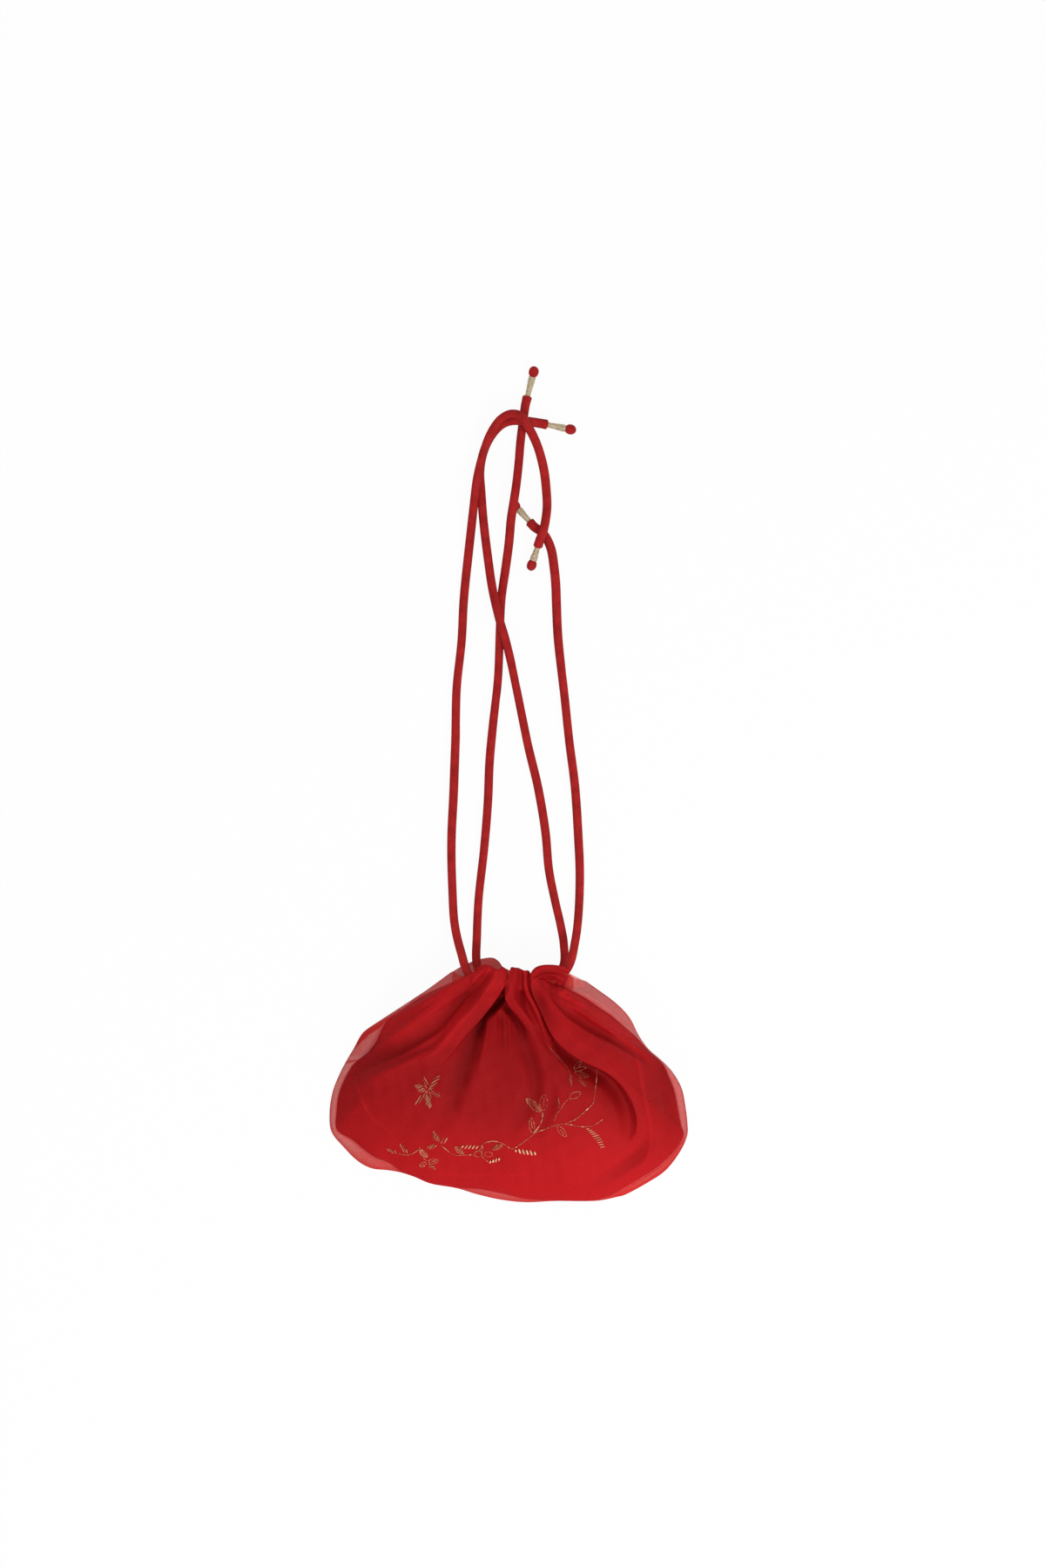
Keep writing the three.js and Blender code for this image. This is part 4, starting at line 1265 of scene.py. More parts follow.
    def _turned_hem(self, front: np.ndarray) -> np.ndarray:
        """The hem rolled over at the top and its facing, which closes the channel under the cord.

        Args:
            front: Points of the front.

        Returns:
            Rows of points, from the facing's end to just before the front's first row.
        """
        top = front[0]
        pinch = sum(Bell(place, self.notch_half)(top[:, :1]) for place in self.notches)
        radius = self.roll_radius * (1 - self.notch_depth * pinch)
        roll = rolled(top, front[self.roll_inset], radius, self.roll_rows, -1)
        share = np.linspace(0, 1, self.facing_rows + 1)[1:, None, None]
        ends = np.minimum(1, self.facing_ends * np.minimum(self.across, 1 - self.across))[None, :, None]
        facing = roll[-1] - np.array([0.0, self.facing_depth, 0.0]) * share * ends
        sink = self.facing_sink(share[..., 0])
        facing[..., 2] = between(roll[-1][None, :, 2], self.facing_z, sink)
        facing[..., 2] += self.facing_rise * self.facing_lift(share[..., 0])
        return np.concatenate([roll, facing])[::-1]

    def _border(self, seam: np.ndarray) -> np.ndarray:
        """The sheer border beyond the lining's seam, down to the sewn edge.

        Args:
            seam: The front's last row.

        Returns:
            Rows of points, the last one on the sewn edge.
        """
        share = np.array(self.border_shares)[:, None]
        floor = self.form.sewn_floor
        ends = raised(self.outer, np.full(len(self.outer), floor))
        rows = between(seam[None], ends[None], share[..., None])
        rows[..., 2] = seam[None, :, 2] + (floor - seam[None, :, 2]) * share ** self.border_round
        pucker = sum(np.sin(self.across * turns + phase) for turns, phase in self.puckers)
        rows[..., 2] += self.pucker_rise * pucker[None, :] * np.sin(np.pi * share)
        return rows

    def lining(self) -> MeshPlan:
        """Plan of the lining under the organza.

        Returns:
            The plan, with its painted light and shade marked.
        """
        inset = self.lining_columns_in
        inner = (slice(self.lining_rows_in, None), slice(inset, -inset))
        sheet = self.base[inner].copy()
        closing = self.lining_close(self.inner_rows[inner[0]])
        sheet[..., 2] -= (self.lining_gap * (1 - closing) + self.seam_gap * closing)[:, None]
        made = MeshPlan.even(sheet, self.lining_steps)
        made.marks["painted_lighting"] = self.painted_lighting[inner]
        return made


@dataclass
class BackPanels:
    """The flat back that the bag lies on: organza with a hem turned over the back drawstring, and lining."""

    form: PouchForm
    columns: int = 180
    rows: int = 46
    cloth_mid: float = 0.4
    ripple: float = 0.11
    ripple_lengths: Place = (9, 11)
    ripple_phase: float = 1.0
    ripple_end: Ramp = Ramp(0.85, 1.0)
    gather_turns: float = 160.0
    gather_fade: float = 9.0
    roll_rows: int = 6
    roll_radius: float = 1.3
    roll_inset: int = 3
    facing_rows: int = 10
    facing_depth: float = 20.0
    facing_least: float = 0.35
    facing_ends: float = 6.0
    facing_z: float = 8.4
    hump_power: float = 0.7
    edge_cover: float = 0.6
    edge_sheer: float = 0.3
    hem_rows: int = 3
    hem_cover: float = 0.4
    hem_sheer: float = 0.6
    organza_painted_lighting: float = 0.55
    lining_inset: float = 2 / 44
    lining_z: float = 1.5
    lining_ripple: float = 0.25
    lining_lengths: Place = (8, 10)
    lining_phase: float = 2.0
    lining_steps: Place = (2.5, 3.0)
    lining_painted_lighting: float = 0.62

    def organza(self) -> MeshPlan:
        """Plan of the back organza.

        Returns:
            The plan, with its cover, its sheerness and its painted light and shade marked.
        """
        across = np.linspace(0, 1, self.columns + 1)
        hem = Route(self.form.back_hem).at(across)
        outer = self.form.outer_edge().at(across)
        row = np.linspace(0, 1, self.rows + 1)[:, None]
        plan = between(hem[None], outer[None], row[..., None])
        wide, long = plan[..., 0] / self.ripple_lengths[0], plan[..., 1] / self.ripple_lengths[1]
        gathered = np.sin(across * self.gather_turns)[None] * np.exp(-row * self.gather_fade)
        wave = np.sin(wide + self.ripple_phase) * np.sin(long) + gathered
        height = self.cloth_mid + self.ripple * (1 + wave) * (1 - self.ripple_end(row))
        back = raised(plan, height)
        sheet = np.concatenate([self._turned_hem(back), back])
        made = MeshPlan.cloth(sheet, across, self.form.flat_width)
        dense, sheer = np.zeros(sheet.shape[:2]), np.ones(sheet.shape[:2])
        dense[-1], sheer[-1] = self.edge_cover, self.edge_sheer
        hemmed = slice(self.roll_rows + self.facing_rows + self.hem_rows)
        dense[hemmed], sheer[hemmed] = self.hem_cover, self.hem_sheer
        # One even level of painted light and shade for the whole back.
        painted_lighting = np.full(sheet.shape[:2], self.organza_painted_lighting)
        made.marks |= {"dense": dense, "sheer": sheer, "painted_lighting": painted_lighting}
        return made

    def _turned_hem(self, back: np.ndarray) -> np.ndarray:
        """The hem rolled forward over the back cord.

        Args:
            back: Points of the back.

        Returns:
            Rows of points, from the facing's end to just before the back's first row.
        """
        roll = rolled(back[0], back[self.roll_inset], self.roll_radius, self.roll_rows, 1)
        share = np.linspace(0, 1, self.facing_rows + 1)[1:, None, None]
        place = np.linspace(0, 1, self.columns + 1)
        from_end = np.minimum(place, 1 - place)
        ends = np.minimum(1, self.facing_least + self.facing_ends * from_end)[None, :, None]
        facing = roll[-1] - np.array([0.0, self.facing_depth, 0.0]) * share * ends
        hump = np.sin(np.pi * share[..., 0]) ** self.hump_power * ends[..., 0]
        facing[..., 2] = roll[-1][None, :, 2] + (self.facing_z - roll[-1][None, :, 2]) * hump
        return np.concatenate([roll, facing])[::-1]

    def lining(self) -> MeshPlan:
        """Plan of the back lining.

        Returns:
            The plan, with its painted light and shade marked.
        """
        across = np.linspace(self.lining_inset, 1 - self.lining_inset, self.columns + 1)
        hem, edge, _ = self.form.fan(across)
        start = self.form.lining_start
        row = start + (1 - start) * np.linspace(0, 1, self.rows + 1)[:, None, None]
        plan = between(hem[None], edge[None], row)
        wide, long = plan[..., 0] / self.lining_lengths[0], plan[..., 1] / self.lining_lengths[1]
        height = self.lining_z + self.lining_ripple * np.sin(wide) * np.sin(long + self.lining_phase)
        made = MeshPlan.even(raised(plan, height), self.lining_steps)
        # One even level of painted light and shade for the whole back lining.
        made.marks["painted_lighting"] = np.full(height.shape, self.lining_painted_lighting)
        return made


@dataclass(frozen=True)
class Leg:
    """One free leg of a drawstring: its points from the mouth to the binding, knob, binding length."""

    name: str
    points: tuple[Point, ...]
    knob: Point
    bound: float

    def landed(self, straight: float) -> np.ndarray:
        """The leg with its last stretch pointing straight at its knob.

        Args:
            straight: Length of that stretch.

        Returns:
            Points from the mouth to the binding.
        """
        points = np.array(self.points, dtype=float)
        back = points[-1] - self.heading() * straight
        return np.vstack([points[:-1], back, points[-1:]])

    def heading(self) -> np.ndarray:
        """Direction from the binding's start to the knob."""
        return unit(np.array(self.knob, dtype=float) - np.array(self.points[-1], dtype=float))


@dataclass
class Drawstring:
    """A rolled-cloth cord through one channel, with two free legs, each bound and knobbed at its end."""

    node: str
    left: Leg
    right: Leg
    channel_z: float
    form: PouchForm
    diameter: float = 5.0
    straight: float = 4.0
    lead: float = 5.0
    rest: float = 2.65
    plump: float = 1.07
    swell: float = 0.05
    swell_reaches: Place = (180, 14)
    square: float = 2.5
    soft: tuple[Point, ...] = ((0.025, 2, 23), (0.018, 3, 9))
    twist_length: float = 60.0
    twist_wander: float = 0.6
    wander_length: float = 37.0
    seam_depth: float = 0.07
    seam_half: float = 0.22
    gathers: int = 9
    gather_depth: float = 0.05
    gather_reach: float = 5.0
    step: float = 1.25
    sides: int = 20
    fit: float = 0.3
    shoulder: tuple[Place, ...] = ((0.3, 1.02), (0.6, 0.84), (0.8, 0.66), (1.2, 0.52))
    neck_end: float = 0.6
    neck_share: float = 0.5
    foot_share: float = 0.62
    knob_length: float = 6.8
    knob_bulge: tuple[Place, ...] = (
        (0.06, 0.8), (0.16, 0.98), (0.3, 1.1), (0.45, 1.14), (0.62, 1.1), (0.76, 0.97), (0.87, 0.76),
        (0.94, 0.52), (0.985, 0.26), (0.95, 0.12))
    waist: float = 1.75
    flare: float = 2.3
    flare_share: Ramp = Ramp(0.15, 0.95)
    bound_end: float = 0.04
    bound_least: float = 0.35
    thread: float = 0.42
    thread_depth: float = 0.05
    per_turn: int = 6
    uneven: tuple[Point, ...] = ((0.03, 2.1, 2), (0.02, 5.3, 0))

    def _inside(self) -> np.ndarray:
        """The run inside the channel.

        Returns:
            Points from left to right.
        """
        form = self.form
        span = form.channel_length
        offsets = (-self.lead, 0, span / 2, span, span + self.lead)
        return np.array([(form.channel_left + o, form.channel_y, self.channel_z) for o in offsets])

    def leg_path(self, leg: Leg) -> np.ndarray:
        """Centreline of one leg, from the middle of the channel to the binding.

        Args:
            leg: The leg.

        Returns:
            Points about one step apart.
        """
        run = self._inside()
        if leg is self.left:
            run = run[::-1]
        knots = np.vstack([run[2:], leg.landed(self.straight)])
        path = Route(knots, 12).spaced(self.step)
        path[:, 2] = np.maximum(path[:, 2], self.rest)
        return path

    def cord(self, leg: Leg) -> tuple[MeshPlan, np.ndarray]:
        """The cord's cloth: its body, the gathered shoulder, the neck and the knob.

        Args:
            leg: The leg.

        Returns:
            The plan of the skin, and the centreline it follows.
        """
        body = self.leg_path(leg)
        radius = self.diameter / 2 * self.plump
        foot = leg.bound + self.fit
        profile = [*self.shoulder, (foot - self.neck_end, self.neck_share), (foot, self.foot_share)]
        profile += [(foot + along * self.knob_length, share) for along, share in self.knob_bulge]
        tail = np.array([leg.points[-1] + leg.heading() * along for along, _ in profile])
        left = np.arange(len(body))[::-1] * self.step
        wide = 1 + sum(self.swell * eased(1 - left / reach) for reach in self.swell_reaches)
        radii = radius * np.concatenate([wide, [share for _, share in profile]])
        path = np.vstack([body, tail])
        start_of_end = Route(body, 1).length

        def section(along: np.ndarray, turn: np.ndarray) -> np.ndarray:
            """A seam groove, soft flats, and gathers at the bound end.

            Args:
                along: Distance along the cord.
                turn: Angle round it.

            Returns:
                Share of the radius.
            """
            twist = along / self.twist_length + self.twist_wander * np.sin(along / self.wander_length)
            groove = self.seam_depth * Bell(np.pi, self.seam_half)(np.mod(turn - twist, 2 * np.pi))
            waves = zip((np.cos, np.sin), self.soft)
            soft = sum(size * wave(count * turn + along / length) for wave, (size, count, length) in waves)
            bound = Ramp(start_of_end - self.gather_reach, start_of_end)(along)
            gather = self.gather_depth * bound * np.cos(self.gathers * turn)
            sides = np.abs(np.cos(turn)) ** self.square + np.abs(np.sin(turn)) ** self.square
            boxed = sides ** (-1 / self.square)
            return (1 + soft - groove * (1 - bound) + gather) * (boxed * (1 - bound) + bound)

        return tube(path, radii, self.sides, section), path

    def binding(self, leg: Leg) -> MeshPlan:
        """Thread wound closely round the neck, flaring towards the knob.

        Args:
            leg: The leg.

        Returns:
            The plan, with the crown of each turn marked for its painted highlight and shade.
        """
        count = int(leg.bound / self.thread * self.per_turn)
        along = np.linspace(0, leg.bound, count)
        share = along / leg.bound
        flare = self.waist + (self.flare - self.waist) * self.flare_share(share)
        ends = eased(np.minimum(share, 1 - share) / self.bound_end + self.bound_least)
        path = np.array(leg.points[-1]) + leg.heading() * (along[:, None] + self.fit)

        def section(where: np.ndarray, turn: np.ndarray) -> np.ndarray:
            """One rounded ridge for each turn of thread.

            Args:
                where: Distance along the binding.
                turn: Angle round it.

            Returns:
                Share of the radius.
            """
            lap = 2 * np.pi * where / self.thread + turn
            uneven = sum(size * np.sin(where * pace + count * turn) for size, pace, count in self.uneven)
            return 1 + self.thread_depth * np.cos(lap) + uneven

        plan = tube(path, flare * ends, self.sides, section)
        turn = np.linspace(0, 2 * np.pi, self.sides, endpoint=False)
        lap = 2 * np.pi * along[:, None] / self.thread + turn[None, :]
        # Crown of each turn, which the finish paints lighter, with painted shade between.
        plan.marks["crown"] = 0.5 + 0.5 * np.cos(lap)
        return plan

    def build(self, cloth: bpy.types.Material, gold: bpy.types.Material) -> None:
        """Args:
            cloth: Finish of the cord.
            gold: Finish of the bindings.
        """
        for leg in (self.left, self.right):
            wound = self.binding(leg).piece(f"{leg.name}_wound_thread", Slot.GOLD, gold)
            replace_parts(wound, f"{leg.name}_binding")
            plan, path = self.cord(leg)
            piece = plan.piece(f"{leg.name}_cord", Slot.CORD, cloth)
            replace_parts(piece, self.node)
            (path[:-1] * MM).tolist()


FRONT_LEFT = Leg("front_left", (
    (-24.5, 67, 18), (-30, 82, 14), (-34, 99, 8.5), (-35.5, 122, 3.5), (-36, 153, 2.6), (-34.5, 185, 2.6),
    (-33.5, 215, 2.6), (-32.8, 246, 2.6), (-29.7, 277, 2.6), (-28.3, 302, 2.6), (-25.6, 330, 2.7),
    (-22, 362, 4.5), (-19.8, 380, 7.4), (-16.4, 394, 8), (-11.4, 407.6, 8), (-4.9, 416.8, 8.4),
    (1.8, 420, 10.6), (8.2, 418.1, 13.3), (12.7, 411.2, 13.2), (18.2, 400, 8.8), (22.3, 385, 4.2),
    (23.9, 372, 3.4), (24.3, 362, 5.2), (23.4, 353.8, 7.9), (22, 347, 8.5), (18.4, 336.8, 6.6),
), knob=(14.6, 325.2, 3.1), bound=9.4)
FRONT_RIGHT = Leg("front_right", (
    (37.6, 72, 17.5), (41.9, 88, 12.5), (44.2, 107, 5.5), (45, 130, 2.7), (44, 153, 2.6), (42, 185, 2.6),
    (38.5, 212, 2.6), (35.5, 241, 2.6), (31.4, 277, 2.6), (30.2, 302, 2.6), (29.8, 312, 2.6),
    (28.7, 323.5, 2.6), (26.6, 336, 2.6), (22, 345, 2.6), (13.5, 352.3, 2.7),
), knob=(4.1, 362.7, 2.9), bound=10.6)
BACK_LEFT = Leg("back_left", (
    (-20, 73, 3.9), (-19.9, 92, 2.9), (-18.9, 115, 2.6), (-15.5, 145, 2.6), (-13, 177, 2.6),
    (-12, 200, 2.6), (-10, 223, 2.6), (-6.6, 254, 2.6), (-5.5, 285, 2.6), (-4.5, 304, 2.6), (-2, 322, 2.8),
    (0.1, 338, 4.6), (1.6, 354, 8.2), (3.2, 364, 9), (4.8, 375, 6.6), (6.4, 390, 3), (7.5, 403, 2.6),
    (9.2, 416, 2.6), (11.8, 431, 2.7),
), knob=(15.8, 447, 2.9), bound=13.0)
BACK_RIGHT = Leg("back_right", (
    (34.8, 73, 3.9), (34.9, 86, 3), (32.8, 98, 2.6), (29.4, 113, 2.6), (25.5, 133, 2.6), (23.2, 157, 2.6),
    (18.6, 185, 2.6), (12.1, 212, 2.6), (6.3, 241, 2.8), (1.7, 263, 4.4), (-2.5, 280, 7.8),
    (-5.5, 290, 8.3), (-8, 300, 7.6), (-10.5, 312, 4.4), (-12.6, 326, 2.7), (-15.6, 351, 2.6),
    (-17.3, 372, 2.6), (-18, 384, 2.6), (-16.2, 395, 2.6), (-11.9, 405, 2.6), (-5.2, 413, 3.4),
    (1, 415.8, 6), (9.4, 415.7, 8.1), (24, 413.6, 4.3),
), knob=(39, 410.6, 2.9), bound=12.0)


class Style(Enum):
    """How a petal, leaf or ear is worked."""

    HATCH = "slanted coils right across"
    SATIN = "slanted coils inside an outline"
    OUTLINE = "coiled outline with a vein"
    LOOP = "coiled outline alone"
    EAR = "one row of slanted coils that stand apart"


@dataclass(frozen=True)
class Motif:
    """A petal, leaf or ear on the front, with the name of its solid. Its slant is the angle of its coils
    to its axis in degrees, to the left of the axis above zero."""

    name: str
    base: Place
    tip: Place
    width: float
    style: Style
    slant: float = 40.0
    # Painted gleam: above zero the wire is painted lighter, up to a painted glint; below zero it is drawn
    # darker.
    painted_gleam: float = 0.0
    bend: float = 0.0
    pitch: float = 0.8
    wire: float = 0.24
    fullness: float = 1.62
    base_power: float = 0.8
    tip_power: float = 0.9

    @property
    def axis(self) -> np.ndarray:
        """From base to tip."""
        return np.array(self.tip) - np.array(self.base)

    @property
    def length(self) -> float:
        """Length from base to tip."""
        return float(np.linalg.norm(self.axis))

    def half(self, along: float) -> float:
        """Half the width of the pointed blade at a share of its length."""
        return self.width * self.fullness * along ** self.base_power * (1 - along) ** self.tip_power

    def at(self, along: float, across: float) -> np.ndarray:
        """A place on the blade.

        Args:
            along: Share of the way along the bent axis.
            across: Share of the half width there, to the left above zero.

        Returns:
            Plan point.
        """
        axis = self.axis
        aside = np.array([-axis[1], axis[0]]) / self.length
        bow = 4 * self.bend * along * (1 - along)
        return np.array(self.base) + axis * along + aside * (across * self.half(along) + bow)


@dataclass(frozen=True)
class Stem:
    """A couched stem on the front, with the name of its solid, and fatter coils laid on it."""

    name: str
    route: tuple[Place, ...]
    coils: tuple[tuple[Place, Place], ...] = ()
    beaded: bool = False
    fat: float = 0.34
    # Painted gleam of the stem's coils: above zero lighter, below zero darker.
    painted_gleam: float = 0.35


MOTIFS = (
    Motif("flower_petal_1", (-50.2, -4.6), (-42.9, 5), 3.4, Style.HATCH, slant=-30),
    Motif("flower_petal_2", (-50, -5.6), (-42.4, -8.7), 4, Style.HATCH, slant=-24),
    Motif("flower_petal_3", (-51.4, -7), (-49.2, -16.4), 4, Style.HATCH, slant=-58, painted_gleam=0.15),
    Motif("flower_petal_4", (-52.2, -6.6), (-58.6, -14), 3.3, Style.HATCH, slant=22),
    Motif("flower_petal_5", (-52, -4.8), (-59, -1.6), 4.2, Style.HATCH, slant=55, painted_gleam=0.15),
    Motif("flower_petal_6", (-51.2, -3.6), (-52.9, 4.1), 3, Style.HATCH, slant=25),
    Motif("vine_leaf_1", (-70.1, -45.4), (-76.8, -42.4), 3.6, Style.HATCH, slant=-30),
    Motif("vine_leaf_2", (-63.5, -45.2), (-68.4, -39), 3.2, Style.HATCH, slant=-24, painted_gleam=0.2),
    Motif("vine_leaf_3", (-51.2, -41.7), (-45, -39.6), 3.3, Style.HATCH, slant=42, painted_gleam=0.1),
    Motif("vine_leaf_4", (-55.4, -42.6), (-50.9, -47.7), 3, Style.SATIN, slant=24, painted_gleam=0.2),
    Motif("bud_petal_1", (-43.5, -37.6), (-47.3, -30.3), 3.2, Style.HATCH, slant=-60),
    Motif("bud_petal_2", (-42.4, -38.6), (-38.2, -34.8), 3.5, Style.HATCH, painted_gleam=0.2),
    Motif("low_petal_1", (-50.6, -50.2), (-43.8, -49.8), 3, Style.OUTLINE, painted_gleam=0.25),
    Motif("low_petal_2", (-51.6, -50.8), (-56.2, -53.8), 2.8, Style.OUTLINE, painted_gleam=0.2),
    Motif("low_petal_3", (-50.4, -51.8), (-45.6, -55.2), 2.8, Style.HATCH, slant=45, painted_gleam=0.15),
    Motif("vine_leaf_5", (-28.2, -45.4), (-33.7, -40.4), 3, Style.SATIN, slant=22),
    Motif("wheat_ear_1", (-30, -40.4), (-18.6, -40.9), 2.6, Style.EAR, slant=55, painted_gleam=0.92, pitch=2.1,
          wire=0.48),
    Motif("diamond_petal_1", (-16.4, -44.6), (-22, -45.6), 4, Style.LOOP),
    Motif("diamond_petal_2", (-15.2, -45), (-9.8, -45.6), 3.6, Style.LOOP),
    Motif("wheat_ear_2", (-12.4, -50.6), (-5, -48.2), 2, Style.EAR, slant=58, painted_gleam=0.98, pitch=1.95,
          wire=0.56),
    Motif("vine_leaf_6", (-3.6, -39.2), (-10.2, -42.4), 2.8, Style.SATIN, slant=22),
    Motif("wheat_ear_3", (3.4, -42.8), (17.8, -44.7), 3, Style.EAR, slant=-62, painted_gleam=0.98, pitch=2.4,
          wire=0.6),
    Motif("vine_leaf_7", (15.2, -32), (14, -21.6), 3.4, Style.OUTLINE),
    Motif("vine_leaf_8", (20.6, -18.2), (10.8, -9.6), 4.2, Style.SATIN, slant=-20),
    Motif("vine_leaf_9", (21.4, -17.6), (22.6, -6.6), 4.8, Style.OUTLINE, painted_gleam=-0.25),
    Motif("vine_leaf_10", (38, -9.2), (45.4, -5.9), 3.8, Style.LOOP, painted_gleam=0.1),
    Motif("vine_leaf_11", (31.8, -16), (31.2, -8.6), 1.4, Style.HATCH, slant=18, painted_gleam=-0.35),
    Motif("vine_leaf_12", (30.4, -26.9), (36.4, -34), 3.4, Style.OUTLINE, painted_gleam=0.1),
    Motif("wheat_ear_4", (49, -28.4), (59.2, -41.4), 3.5, Style.EAR, slant=62, painted_gleam=0.5, bend=1.4,
          pitch=1.6, wire=0.32),
    Motif("high_leaf_1", (38.4, 5.6), (39.8, -2), 1.9, Style.HATCH, slant=18, painted_gleam=-0.3),
    Motif("high_petal_1", (40.8, 8.6), (46, 13.4), 2, Style.LOOP, painted_gleam=-0.35),
    Motif("high_petal_2", (41, 7.6), (49.2, 9.6), 2, Style.LOOP, painted_gleam=-0.35),
    Motif("high_petal_3", (41.2, 7), (50.6, 3.6), 2.4, Style.OUTLINE, painted_gleam=-0.3),
    Motif("high_leaf_2", (43.8, 4), (48.6, -2.6), 3.2, Style.HATCH, slant=22, painted_gleam=-0.3),
)

STEMS = (
    Stem("vine_stem", ((-42.2, -39.8), (-40.2, -41.6), (-38, -43.4), (-35, -45.4), (-32, -46.2),
         (-27.5, -45.9), (-23.1, -45.6), (-19.8, -43.5), (-17.4, -41.8), (-16.5, -39.6), (-14.5, -37.8),
         (-10, -36.8), (-5.5, -37.5), (-2.2, -39.2), (2.2, -41.8), (7.2, -39), (11.3, -35.8), (14.9, -33),
         (18.6, -30.6), (21, -29.8), (26.4, -27.7), (31.4, -26.1), (35.2, -25.7), (39.6, -26.4),
         (46.6, -27.6), (50.6, -27.4), (54, -26.3), (59, -23.2)), coils=(((-40.9, -40.7), (-38.4, -43.1)),
         ((-13.5, -37.6), (-11.5, -37)), ((-9.4, -36.8), (-6.8, -37.2)), ((-17, -39.7), (-15.9, -41.2)),
         ((19.8, -30.1), (21.9, -29.6)), ((38.8, -26.2), (40.3, -26.5)), ((45.4, -27.4), (47.6, -27.7)),
         ((57.7, -23.9), (59, -23.1)))),
    Stem("vine_tail", ((-69, -45.6), (-66, -46.1), (-62.6, -46.1), (-59.5, -44.8), (-56.8, -42.8),
         (-55.2, -41))),
    Stem("low_stalk", ((-56, -42.8), (-55.2, -45.4), (-52.6, -48.8), (-51.2, -50)),
         coils=(((-56.1, -43), (-54.8, -46.2)),)),
    Stem("diamond_stalk", ((-16.2, -41.4), (-16.6, -44), (-16.4, -46.8), (-15, -48.6), (-12.8, -50.2))),
    Stem("leaf_pair_stalk", ((16.2, -31.6), (18.7, -28), (20.3, -25), (21.2, -22), (21.4, -19.2)),
         coils=(((16, -31.6), (19.4, -26.9)), ((20.2, -25.4), (21.1, -22.4)),
         ((21.3, -21.8), (21.4, -18.8))), beaded=True, fat=0.5, painted_gleam=0.2),
    Stem("side_stem", ((28.8, -23.8), (30.3, -19.3), (33, -16), (34.7, -12.9), (38, -9.4)),
         coils=(((30, -19.4), (31.8, -16.6)),), painted_gleam=-0.1),
    Stem("beaded_branch", ((35.4, -25.4), (38.4, -24.4), (42.4, -22.6), (46.8, -18.8), (50.6, -15.2),
         (53.2, -12.4), (53.9, -8), (54.4, -3.6), (55, 1), (55.4, 4), (55.2, 8)),
         coils=(((38.2, -24.5), (39.8, -23.6)), ((40.8, -23.5), (42.2, -22.7)),
         ((43.6, -21.5), (44.8, -20.5)), ((45.5, -19.9), (47.6, -18.1)), ((48.5, -17.2), (50.2, -15.6)),
         ((51, -14.9), (52, -14)), ((52.6, -13.3), (53.4, -12)), ((54.3, -3.8), (54.8, -1)),
         ((54.9, 0), (55.4, 3.8))), beaded=True, painted_gleam=0.15),
    Stem("high_stem", ((25.2, 23.2), (28.5, 19.3), (31.9, 15.4), (34.7, 12.1), (37.2, 9), (38.6, 5.4)),
         coils=(((26, 21.8), (27.4, 20)),), beaded=True, fat=0.2, painted_gleam=-0.35),
)


